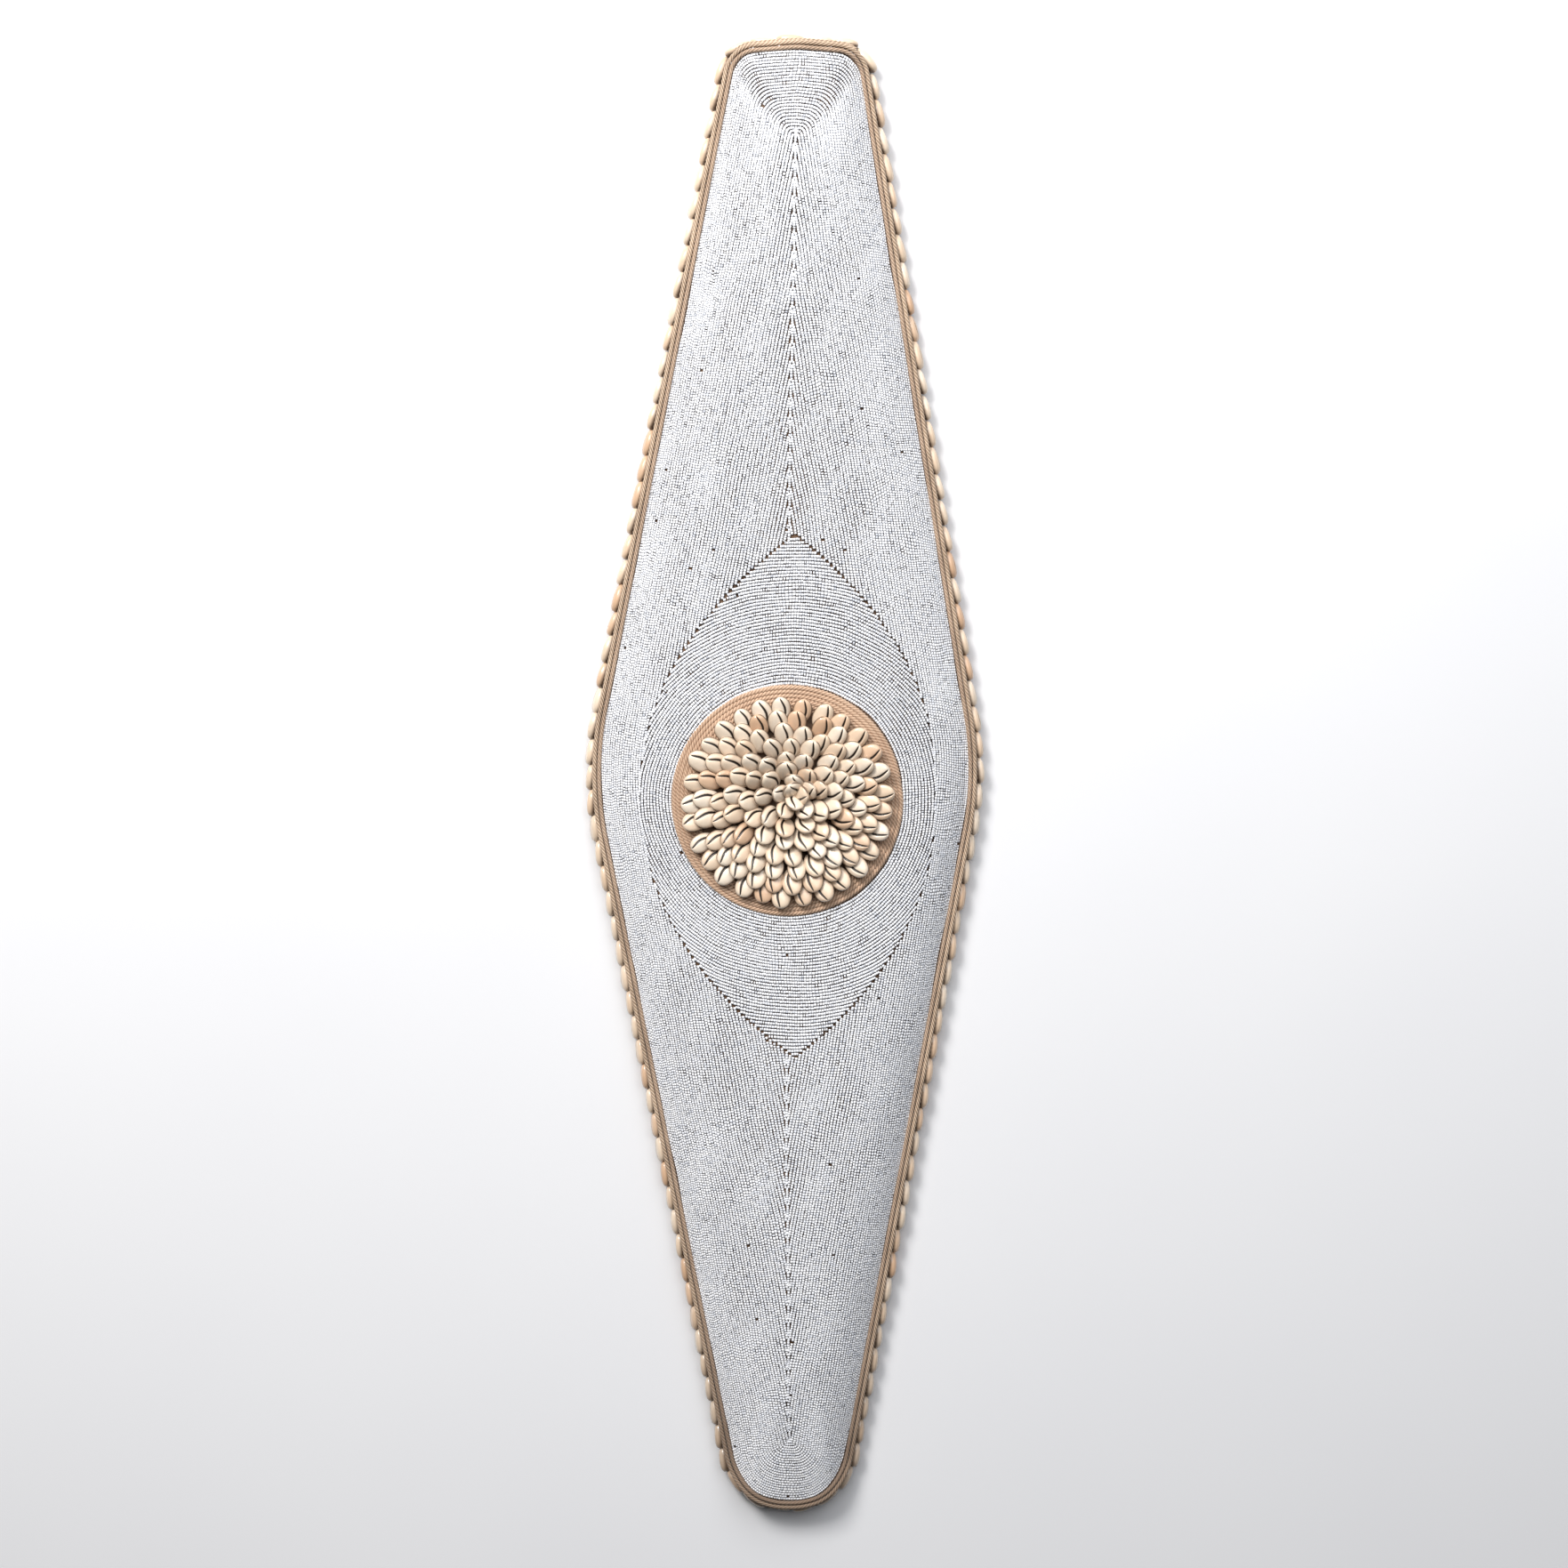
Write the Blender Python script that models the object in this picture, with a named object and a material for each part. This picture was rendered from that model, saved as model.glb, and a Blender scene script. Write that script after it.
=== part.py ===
"""A long dance shield covered in strings of white beads, lying on its flat back.

+Z is the front of the shield, +Y its broad-cornered top end and +X its right side.
The origin is on the underside, in the middle of the shield's length and width.
Metres throughout.
"""
import math

import bmesh
import bpy
import numpy as np
from mathutils import Vector

# Outline, measured to the middle of the edge cords
HALF_LENGTH = 0.653
WAIST_Y = 0.024
WAIST_HALF_WIDTH = 0.1723
TOP_HALF_WIDTH = 0.0553
BOTTOM_HALF_WIDTH = 0.0472
TOP_LEAN = 0.0108
BOTTOM_LEAN = 0.0050
TOP_BOW = 0.0045
TOP_CORNER_RADIUS = 0.024
BOTTOM_CORNER_RADIUS = 0.054
TOP_BOW_RADIUS = 0.090
WAIST_RADIUS = 0.300
WAIST_SOFTNESS = 0.024

# Wooden body
WALL_HEIGHT = 0.0170
SHOULDER_SLOPE = math.radians(49)
SHOULDER_RUN = 0.094
END_LIFT = 0.009
END_SLOPE = math.radians(19)
END_RUN = 0.250
RIDGE_SOFTNESS = 0.014
CROWN_SOFTNESS = 0.010

# Bead cover, in two fields of strings
BEAD_THICKNESS = 0.0028
BEAD_EDGE_RISE = 0.0030
BEAD_EDGE_INSET = 0.0046
OVAL_HALF_WIDTH = 0.130
OVAL_REACH_TOP = 0.232
OVAL_REACH_BOTTOM = 0.229
OVAL_POWER = 2.3
OVAL_LEAN = 0.0065

# Centre boss: a coiled cord disc under rings of shells
BOSS_X = 0.003
BOSS_Y = 0.006
DISC_RADIUS = 0.1015
DISC_THICKNESS = 0.0037
RING_COUNTS = (29, 26, 22, 17, 13, 9, 5, 3)
OUTER_RING_TIP = 0.093
RING_STEP = 0.012
OUTER_RING_TILT = math.radians(18)
TILT_STEP = math.radians(8)
RING_RISES = (0.0, 0.0012, 0.0020)

# Cowrie shells and cords
SHELL_LENGTH = 0.0240
SHELL_WIDTH = 0.0152
SHELL_THICKNESS = 0.0102
PETAL_THICKNESS = 0.0060
EDGE_SHELL_PITCH = 0.0232
EDGE_SHELL_HEIGHT = 0.0088
EDGE_SHELL_FOLLOW = 0.55
CORD_DIAMETER = 0.0038
GAP = 0.0003
CORD_SEAT_GAP = 0.0006
END_CORD_DROP = 0.0038

# Fineness of the faceted forms
CORNER_STEPS = 16
SIDE_STATIONS = 20
CAP_RAYS = 11
END_CORD_SKIP = 2
LOOP_SHARES = (0.0, 0.09, 0.22, 0.38, 0.56, 0.78, 1.0)
DISC_SIDES = 40
OVAL_STEPS = 12
SLOPE_STEP = 0.001
CUTTER_FOOT = -0.05
CUTTER_TOP = 0.30

# A boss shell cut along its length, as shares of its length and thickness
PETAL_SKETCH = ((0.00, 0.0), (0.55, -0.5), (1.00, 0.0), (0.75, 0.5), (0.28, 0.5))
VALLEY_LENGTH = 0.70
VALLEY_THICKNESS = 0.42

# An edge shell cut across, as shares of its half depth and half width, and how far it narrows at its tips
EDGE_SHELL_SKETCH = ((-1, 0.62), (-1, -0.62), (0.2, -1), (1, 0), (0.2, 1))
TIP_WIDTH = 0.34
TIP_DEPTH = 0.40

CREAM = (0.80, 0.68, 0.52)
TAN = (0.50, 0.34, 0.22)
WHITE = (0.78, 0.80, 0.84)
BROWN = (0.20, 0.12, 0.07)


def clear_scene():
    for obj in list(bpy.data.objects):
        bpy.data.objects.remove(obj)


def collection(name):
    group = bpy.data.collections.new(name)
    bpy.context.scene.collection.children.link(group)
    return group


def finish(name, color, roughness):
    """A Principled material in one colour."""
    material = bpy.data.materials.new(name)
    material.use_nodes = True
    shader = material.node_tree.nodes["Principled BSDF"]
    shader.inputs["Base Color"].default_value = (*color, 1)
    shader.inputs["Roughness"].default_value = roughness
    shader.inputs["Metallic"].default_value = 0.0
    return material


def soft_min(a, b, width):
    """The smaller of two values, with the change between them rounded over a width."""
    blend = np.clip(0.5 + 0.5 * (b - a) / width, 0, 1)
    return b + (a - b) * blend - width * blend * (1 - blend)


# Plan of the shield

def plan_corners():
    """Corners of the outline with their rounding, counter-clockwise from the bottom right."""
    return [
        ((BOTTOM_LEAN + BOTTOM_HALF_WIDTH, -HALF_LENGTH), BOTTOM_CORNER_RADIUS),
        ((WAIST_HALF_WIDTH, WAIST_Y), WAIST_RADIUS),
        ((TOP_LEAN + TOP_HALF_WIDTH, HALF_LENGTH - TOP_BOW), TOP_CORNER_RADIUS),
        ((TOP_LEAN, HALF_LENGTH), TOP_BOW_RADIUS),
        ((TOP_LEAN - TOP_HALF_WIDTH, HALF_LENGTH - TOP_BOW), TOP_CORNER_RADIUS),
        ((-WAIST_HALF_WIDTH, WAIST_Y), WAIST_RADIUS),
        ((BOTTOM_LEAN - BOTTOM_HALF_WIDTH, -HALF_LENGTH), BOTTOM_CORNER_RADIUS),
    ]


def line_distance(x, y, start, end):
    """How far a point lies to the left of the line from start to end."""
    run_x = end[0] - start[0]
    run_y = end[1] - start[1]
    length = math.hypot(run_x, run_y)
    return (run_x * (y - start[1]) - run_y * (x - start[0])) / length


def outline(offset):
    """Close points of the rounded outline, moved outwards by an offset."""
    corners = plan_corners()
    points = []
    for index, (corner, radius) in enumerate(corners):
        before = Vector(corners[index - 1][0])
        after = Vector(corners[(index + 1) % len(corners)][0])
        here = Vector(corner)
        way_in = (here - before).normalized()
        way_out = (after - here).normalized()
        turn = way_in.angle_signed(way_out)
        half_turn = abs(turn) / 2
        centre = here - way_in * radius * math.tan(half_turn)
        centre += Vector((-way_in.y, way_in.x)) * radius
        start = math.atan2(-way_in.x, way_in.y)
        for step in range(CORNER_STEPS + 1):
            angle = start + 2 * half_turn * step / CORNER_STEPS
            spoke = Vector((math.cos(angle), math.sin(angle)))
            points.append(centre + spoke * (radius + offset))
    return np.array([(p.x, p.y) for p in points])


def spine_end(sign):
    """The point on the centre line where the fan of rays to one end starts."""
    if sign > 0:
        return Vector((TOP_LEAN, HALF_LENGTH - TOP_HALF_WIDTH))
    return Vector((BOTTOM_LEAN, -HALF_LENGTH + BOTTOM_HALF_WIDTH))


def centre_x(y):
    """The shield's middle, which strays a little from a straight line."""
    return np.interp(y, (spine_end(-1).y, WAIST_Y, spine_end(1).y), (BOTTOM_LEAN, 0, TOP_LEAN))


def ray_reach(points, hub, ray):
    """How far a ray from the hub runs until it meets the outline."""
    ahead = (points - np.array(hub)) @ np.array(ray)
    aside = (points - np.array(hub)) @ np.array((-ray.y, ray.x))
    next_ahead = np.roll(ahead, -1)
    next_aside = np.roll(aside, -1)
    crosses = (aside < 0) & (next_aside >= 0)
    share = aside[crosses] / (aside[crosses] - next_aside[crosses])
    return float(np.max(ahead[crosses] + share * (next_ahead[crosses] - ahead[crosses])))


def fan(points, sign):
    """Outline points on evenly spaced rays around one end."""
    hub = spine_end(sign)
    result = []
    for index in range(1, CAP_RAYS + 1):
        angle = math.pi * index / (CAP_RAYS + 1)
        ray = Vector((math.cos(angle), math.sin(angle))) * sign
        result.append((hub + ray * ray_reach(points, hub, ray), hub))
    return result


def border(offset):
    """Outline points with the spine point that each one faces, counter-clockwise."""
    points = outline(offset)
    heights = np.linspace(spine_end(-1).y, spine_end(1).y, SIDE_STATIONS)
    right = points[points[:, 0] > centre_x(points[:, 1])]
    left = points[points[:, 0] < centre_x(points[:, 1])]
    sides = []
    for side in (right, left):
        order = np.argsort(side[:, 1])
        across = np.interp(heights, side[order, 1], side[order, 0])
        sides.append([(Vector((x, y)), Vector((centre_x(y), y))) for x, y in zip(across, heights)])
    return sides[0] + fan(points, 1) + sides[1][::-1] + fan(points, -1)


# Height of the bead cover

def dome(x, y):
    """Rise of the front above the long edges at a place in plan."""
    corners = [Vector(corner) for corner, radius in plan_corners()]
    edges = [line_distance(x, y, corners[i], corners[(i + 1) % len(corners)]) for i in range(len(corners))]
    lower_right, upper_right, top_right, top_left, upper_left, lower_left, bottom = edges
    right = soft_min(lower_right, upper_right, WAIST_SOFTNESS)
    left = soft_min(lower_left, upper_left, WAIST_SOFTNESS)
    side = soft_min(right, left, RIDGE_SOFTNESS) - BEAD_EDGE_INSET
    end = soft_min(soft_min(top_right, top_left, CROWN_SOFTNESS), bottom, CROWN_SOFTNESS)
    end = end - BEAD_EDGE_INSET
    side_rise = arc_rise(side, SHOULDER_RUN, SHOULDER_SLOPE)
    end_rise = END_LIFT + arc_rise(end, END_RUN, END_SLOPE)
    return soft_min(side_rise, end_rise, CROWN_SOFTNESS)


def arc_rise(distance, run, slope):
    """Height on an arc that starts at a slope and is level after its run."""
    radius = run / math.sin(slope)
    lean = np.clip((run - distance) / radius, 0, math.sin(slope))
    below_edge = np.minimum(distance, 0) * math.tan(slope)
    return radius * (np.sqrt(1 - lean ** 2) - math.cos(slope)) + below_edge


def front(x, y, depth=0.0):
    """A point at a depth under the bead cover's face, square to that face."""
    slope_x = float(dome(x + SLOPE_STEP, y) - dome(x - SLOPE_STEP, y)) / (2 * SLOPE_STEP)
    slope_y = float(dome(x, y + SLOPE_STEP) - dome(x, y - SLOPE_STEP)) / (2 * SLOPE_STEP)
    normal = Vector((-slope_x, -slope_y, 1)).normalized()
    face = WALL_HEIGHT + BEAD_EDGE_RISE + float(dome(x, y))
    return Vector((x, y, face)) - normal * depth


def wall_top(x, y):
    """Height of the wooden ledge that the edge cords lie on."""
    return WALL_HEIGHT + max(float(dome(x, y)), 0.0)


# Solids

def new_object(name, mesh, group, material, smooth=True):
    obj = bpy.data.objects.new(name, mesh)
    group.objects.link(obj)
    mesh.materials.clear()
    mesh.materials.append(material)
    if smooth:
        mesh.shade_smooth()
        mesh.set_sharp_from_angle(angle=math.radians(35))
    return obj


def mesh_from(bm, name):
    bmesh.ops.recalc_face_normals(bm, faces=bm.faces)
    mesh = bpy.data.meshes.new(name)
    bm.to_mesh(mesh)
    bm.free()
    return mesh


def bridge(bm, loops, closed_way=False):
    """Triangles between neighbouring closed loops of vertices with equal counts."""
    pairs = list(zip(loops, loops[1:]))
    if closed_way:
        pairs.append((loops[-1], loops[0]))
    for lower, upper in pairs:
        count = len(lower)
        for index in range(count):
            following = (index + 1) % count
            bm.faces.new((lower[index], lower[following], upper[following]))
            bm.faces.new((lower[index], upper[following], upper[index]))


def ray_loops(bm, offset, depth):
    """Loops of vertices over the dome, from the border in to the spine."""
    loops = []
    for share in LOOP_SHARES:
        loop = []
        for edge, spine in border(offset):
            place = edge.lerp(spine, share)
            loop.append(bm.verts.new(front(place.x, place.y, depth)))
        loops.append(loop)
    return loops


def body_mesh():
    """The carved wooden body: a flat back, an upright wall, a ledge and the dome."""
    bm = bmesh.new()
    wall = border(-CORD_SEAT_GAP)
    foot = [bm.verts.new((p.x, p.y, 0)) for p, spine in wall]
    inner_edge = border(-BEAD_EDGE_INSET)
    rim = []
    for (p, spine), (inside, spine) in zip(wall, inner_edge):
        rim.append(bm.verts.new((p.x, p.y, wall_top(inside.x, inside.y))))
    loops = ray_loops(bm, -BEAD_EDGE_INSET, BEAD_THICKNESS + GAP)
    bridge(bm, [foot, rim] + loops)
    bm.faces.new(foot)
    bmesh.ops.remove_doubles(bm, verts=bm.verts, dist=GAP / 3)
    return mesh_from(bm, "shield_body")


def skin_mesh(name, thickness):
    """An even skin over the whole dome, lying a gap clear of the wood."""
    bm = bmesh.new()
    outer = ray_loops(bm, -BEAD_EDGE_INSET, BEAD_THICKNESS - thickness)
    inner = ray_loops(bm, -BEAD_EDGE_INSET, BEAD_THICKNESS)
    bridge(bm, outer[::-1])
    bridge(bm, inner)
    bridge(bm, [outer[0], inner[0]])
    bmesh.ops.remove_doubles(bm, verts=bm.verts, dist=GAP / 3)
    return mesh_from(bm, name)


def prism(name, points, group):
    """A tall cutter over a plan of points."""
    bm = bmesh.new()
    low = [bm.verts.new((x, y, CUTTER_FOOT)) for x, y in points]
    high = [bm.verts.new((x, y, CUTTER_TOP)) for x, y in points]
    bridge(bm, [low, high])
    bm.faces.new(low)
    bm.faces.new(high)
    cutter = bpy.data.objects.new(name, mesh_from(bm, name))
    group.objects.link(cutter)
    cutter.hide_render = True
    cutter.display_type = "WIRE"
    return cutter


def oval_plan(grow):
    """The pointed oval round the boss; its two points lean towards the shield's centre line."""
    right = []
    for index in range(-OVAL_STEPS, OVAL_STEPS):
        share = index / OVAL_STEPS
        reach = OVAL_REACH_TOP if share > 0 else OVAL_REACH_BOTTOM
        half = OVAL_HALF_WIDTH * (1 - abs(share) ** OVAL_POWER)
        right.append((half, share * reach))
    left = [(-half, y) for half, y in right[1:]]
    top = [(0, OVAL_REACH_TOP)]
    plan = right + top + left[::-1]
    result = []
    for x, y in plan:
        place = Vector((x, y))
        place += place.normalized() * grow
        reach = OVAL_REACH_TOP if y > 0 else OVAL_REACH_BOTTOM
        result.append((place.x + BOSS_X + OVAL_LEAN * abs(y) / reach, place.y + BOSS_Y))
    return result


def disc_plan(radius):
    turns = [2 * math.pi * k / DISC_SIDES for k in range(DISC_SIDES)]
    return [(BOSS_X + radius * math.cos(a), BOSS_Y + radius * math.sin(a)) for a in turns]


def cut(obj, cutter, operation):
    modifier = obj.modifiers.new(operation.lower(), "BOOLEAN")
    modifier.object = cutter
    modifier.operation = operation
    modifier.solver = "EXACT"


def dome_cover(group, cutters, beads, twine):
    """The bead strings along the edges, those in the pointed oval, and the cord disc."""
    outer_cutter = prism("oval_outer_cutter", oval_plan(GAP / 2), cutters)
    inner_cutter = prism("oval_inner_cutter", oval_plan(-GAP / 2), cutters)
    disc_cutter = prism("disc_cutter", disc_plan(DISC_RADIUS + GAP), cutters)
    disc_form = prism("disc_form", disc_plan(DISC_RADIUS), cutters)
    long_name = "bead_field_long_strings"
    long_field = new_object(long_name, skin_mesh(long_name, BEAD_THICKNESS), group, beads)
    cut(long_field, outer_cutter, "DIFFERENCE")
    ring_name = "bead_field_ring_strings"
    ring_field = new_object(ring_name, skin_mesh(ring_name, BEAD_THICKNESS), group, beads)
    cut(ring_field, inner_cutter, "INTERSECT")
    cut(ring_field, disc_cutter, "DIFFERENCE")
    disc_name = "centre_cord_disc"
    disc = new_object(disc_name, skin_mesh(disc_name, DISC_THICKNESS), group, twine)
    cut(disc, disc_form, "INTERSECT")


def drape(x, y, height):
    """A point at a height over the bead cover's face, measured straight up."""
    return Vector((x, y, WALL_HEIGHT + BEAD_EDGE_RISE + float(dome(x, y)) + height))


def petal_section(length, thickness, tilt):
    """A shell cut along its length: out from the centre and up, from its foot."""
    section = []
    for along, across in PETAL_SKETCH:
        u = along * length
        v = across * thickness
        out = u * math.cos(tilt) - v * math.sin(tilt)
        up = u * math.sin(tilt) + v * math.cos(tilt)
        section.append((out, up))
    return section


def shell_ring_mesh(index):
    """One ring of shells that lean outwards and touch along their sides."""
    count = RING_COUNTS[index]
    tilt = OUTER_RING_TILT + index * TILT_STEP
    tip = OUTER_RING_TIP - index * RING_STEP
    foot = tip - SHELL_LENGTH * math.cos(tilt)
    rise = RING_RISES[min(index, len(RING_RISES) - 1)]
    clearance = DISC_THICKNESS - BEAD_THICKNESS + GAP + rise
    belly = petal_section(SHELL_LENGTH, PETAL_THICKNESS, tilt)
    valley = petal_section(SHELL_LENGTH * VALLEY_LENGTH, PETAL_THICKNESS * VALLEY_THICKNESS, tilt)
    bm = bmesh.new()
    sections = []
    for step in range(2 * count):
        angle = math.pi * step / count
        section = valley if step % 2 else belly
        loop = []
        for out, up in section:
            x = BOSS_X + (foot + out) * math.cos(angle)
            y = BOSS_Y + (foot + out) * math.sin(angle)
            loop.append(bm.verts.new(drape(x, y, clearance + up)))
        sections.append(loop)
    bridge(bm, sections, closed_way=True)
    return mesh_from(bm, f"boss_cowries_ring_{index + 1}")


def edge_walk(offset):
    """The outline at an offset as a closed line, with its running length."""
    points = outline(offset)
    points = np.vstack([points, points[:1]])
    lengths = np.hypot(*np.diff(points, axis=0).T)
    return points, np.concatenate([[0], np.cumsum(lengths)])


def edge_shell_loop(points, lengths, distance, half_width, half_depth):
    """The five-sided cut through the string of edge shells at a distance along it."""
    x = np.interp(distance % lengths[-1], lengths, points[:, 0])
    y = np.interp(distance % lengths[-1], lengths, points[:, 1])
    ahead_x = np.interp((distance + SLOPE_STEP) % lengths[-1], lengths, points[:, 0])
    ahead_y = np.interp((distance + SLOPE_STEP) % lengths[-1], lengths, points[:, 1])
    way = Vector((ahead_x - x, ahead_y - y)).normalized()
    outwards = Vector((way.y, -way.x, 0))
    inside = Vector((x, y, 0)) - outwards * (SHELL_THICKNESS / 2 + BEAD_EDGE_INSET)
    lift = max(float(dome(inside.x, inside.y)), 0.0)
    middle = Vector((x, y, EDGE_SHELL_HEIGHT + EDGE_SHELL_FOLLOW * lift))
    loop = []
    for out, up in EDGE_SHELL_SKETCH:
        loop.append(middle + outwards * out * half_depth + Vector((0, 0, up * half_width)))
    return loop


def edge_shell_chain(name, start, count, group, material):
    """A run of edge shells, tip to tip, along the wall."""
    offset = SHELL_THICKNESS / 2 - CORD_SEAT_GAP + GAP
    points, lengths = edge_walk(offset)
    total = round(lengths[-1] / EDGE_SHELL_PITCH)
    pitch = lengths[-1] / total
    bm = bmesh.new()
    sections = []
    for step in range(2 * count + 1):
        distance = (start * total + step / 2) * pitch
        if step == 0:
            distance += GAP
        if step == 2 * count:
            distance -= GAP
        size = (SHELL_WIDTH / 2, SHELL_THICKNESS / 2)
        if step % 2 == 0:
            size = (SHELL_WIDTH / 2 * TIP_WIDTH, SHELL_THICKNESS / 2 * TIP_DEPTH)
        sections.append([bm.verts.new(p) for p in edge_shell_loop(points, lengths, distance, *size)])
    bridge(bm, sections)
    bm.faces.new(sections[0])
    bm.faces.new(sections[-1])
    return new_object(name, mesh_from(bm, name), group, material)


def edge_shells(group, material):
    """Six runs of shells that together go once round the wall."""
    names = ("bottom_right", "right", "top_right", "top_left", "left", "bottom_left")
    points, lengths = edge_walk(SHELL_THICKNESS / 2 - CORD_SEAT_GAP + GAP)
    total = round(lengths[-1] / EDGE_SHELL_PITCH)
    marks = [round(total * k / len(names)) for k in range(len(names) + 1)]
    for name, first, last in zip(names, marks, marks[1:]):
        edge_shell_chain(f"edge_cowries_{name}", first / total, last - first, group, material)


def cord(name, points, closed, group, material):
    """A round cord through a list of points."""
    curve = bpy.data.curves.new(name, "CURVE")
    curve.dimensions = "3D"
    curve.bevel_depth = CORD_DIAMETER / 2
    curve.bevel_resolution = 1
    curve.use_fill_caps = not closed
    spline = curve.splines.new("POLY")
    spline.points.add(len(points) - 1)
    for target, point in zip(spline.points, points):
        target.co = (*point, 1)
    spline.use_cyclic_u = closed
    obj = bpy.data.objects.new(name, curve)
    curve.materials.append(material)
    group.objects.link(obj)
    return obj


def cord_route(offset, drop):
    """Middle of a cord at an offset from the outline, lying on the ledge less a drop."""
    route = []
    for (p, spine), (inside, spine) in zip(border(offset), border(-BEAD_EDGE_INSET)):
        seat = wall_top(inside.x, inside.y) + CORD_SEAT_GAP + CORD_DIAMETER / 2
        route.append(Vector((p.x, p.y, seat - drop)))
    return route


def edge_cords(group, material):
    """Two cords side by side round the ledge, and a third across each end."""
    half_step = (CORD_DIAMETER + GAP) / 2
    cord("edge_cord_inner", cord_route(-half_step, 0), True, group, material)
    cord("edge_cord_outer", cord_route(half_step, 0), True, group, material)
    aside = half_step + math.sqrt((CORD_DIAMETER + 2 * GAP) ** 2 - END_CORD_DROP ** 2)
    route = cord_route(aside, END_CORD_DROP)
    rays = CAP_RAYS - 2 * END_CORD_SKIP
    top_start = SIDE_STATIONS + END_CORD_SKIP
    bottom_start = 2 * SIDE_STATIONS + CAP_RAYS + END_CORD_SKIP
    cord("end_cord_top", route[top_start:top_start + rays], False, group, material)
    cord("end_cord_bottom", route[bottom_start:bottom_start + rays], False, group, material)


def main():
    clear_scene()
    parts = collection("beaded_shield")
    cutters = collection("cutters")
    wood = finish("carved wood", BROWN, 0.75)
    beads = finish("white glass beads", WHITE, 0.30)
    twine = finish("twisted tan cord", TAN, 0.85)
    shell = finish("cowrie shell", CREAM, 0.28)
    new_object("shield_body", body_mesh(), parts, wood)
    dome_cover(parts, cutters, beads, twine)
    edge_cords(parts, twine)
    edge_shells(parts, shell)
    for index in range(len(RING_COUNTS)):
        new_object(f"boss_cowries_ring_{index + 1}", shell_ring_mesh(index), parts, shell)


main()
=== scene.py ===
# %% [markdown]
# # A beaded shield, dressed for its portrait
#
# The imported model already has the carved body, the cords and plain forms for the shells and the beads.
# This lesson loads it as a fixed frame and makes the fine surface round it: nearly 44,000 glass beads,
# twisted cord, and 247 cowrie shells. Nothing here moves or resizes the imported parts.

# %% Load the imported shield
import math

import bpy
import numpy as np
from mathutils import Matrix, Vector


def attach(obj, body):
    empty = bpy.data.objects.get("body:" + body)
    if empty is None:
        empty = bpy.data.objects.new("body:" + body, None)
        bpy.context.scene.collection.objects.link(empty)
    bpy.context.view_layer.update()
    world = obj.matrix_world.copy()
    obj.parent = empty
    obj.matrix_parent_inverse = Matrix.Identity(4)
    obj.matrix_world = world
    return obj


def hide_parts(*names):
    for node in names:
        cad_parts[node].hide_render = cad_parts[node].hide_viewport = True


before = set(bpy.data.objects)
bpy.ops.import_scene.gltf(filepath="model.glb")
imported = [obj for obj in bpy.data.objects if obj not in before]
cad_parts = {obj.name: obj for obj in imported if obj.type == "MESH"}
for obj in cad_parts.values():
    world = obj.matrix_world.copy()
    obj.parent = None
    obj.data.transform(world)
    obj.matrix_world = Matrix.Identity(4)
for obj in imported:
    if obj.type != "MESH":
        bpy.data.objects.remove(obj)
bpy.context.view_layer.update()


def added(name, data):
    """A data block's own object, linked to the scene."""
    item = bpy.data.objects.new(name, data)
    bpy.context.scene.collection.objects.link(item)
    return item


# %% [markdown]
# ## The camera
#
# The photograph looks straight at the hung shield from a little above its middle. Here the shield
# lies on its back, so the camera looks down on it, leaning the same few degrees towards the top end.
# The distance comes from how much larger the beads are at the top end than at the bottom.

# %% Place the camera
VIEW_DISTANCE = 2.2
VIEW_LEAN = math.radians(7.5)
VIEW_TARGET = Vector((0.0, 0.017, 0.030))
FIELD_WIDTH = 1.388
SENSOR = 36.0

camera_data = bpy.data.cameras.new("camera")
camera_data.sensor_width = SENSOR
camera_data.lens = SENSOR * VIEW_DISTANCE / FIELD_WIDTH
camera = added("camera", camera_data)
camera.location = VIEW_TARGET + VIEW_DISTANCE * Vector((0, math.sin(VIEW_LEAN), math.cos(VIEW_LEAN)))
camera.rotation_euler = (-VIEW_LEAN, 0, 0)
bpy.context.scene.camera = camera
print("lens", round(camera_data.lens, 1), "mm")

# %% [markdown]
# ## The plan and the dome
#
# Every piece follows the same outline and the same domed front, so both are written once, as
# formulas on arrays. The sizes are the carver's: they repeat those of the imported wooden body.
# The long edges rise at 49 degrees and level out in an arc; the two ends rise more gently.

# %% Sizes of the body
HALF_LENGTH = 0.653
WAIST_Y = 0.024
WAIST_HALF_WIDTH = 0.1723
TOP_HALF_WIDTH = 0.0553
BOTTOM_HALF_WIDTH = 0.0472
TOP_LEAN = 0.0108
BOTTOM_LEAN = 0.0050
TOP_BOW = 0.0045
TOP_CORNER_RADIUS = 0.024
BOTTOM_CORNER_RADIUS = 0.054
TOP_BOW_RADIUS = 0.090
WAIST_RADIUS = 0.300
WAIST_SOFTNESS = 0.024
WALL_HEIGHT = 0.0170
SHOULDER_SLOPE = math.radians(49)
SHOULDER_RUN = 0.094
END_LIFT = 0.009
END_SLOPE = math.radians(19)
END_RUN = 0.250
RIDGE_SOFTNESS = 0.014
CROWN_SOFTNESS = 0.010
BEAD_EDGE_RISE = 0.0030
BEAD_EDGE_INSET = 0.0046
BOSS = np.array((0.003, 0.006))
DISC_RADIUS = 0.1015

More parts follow.
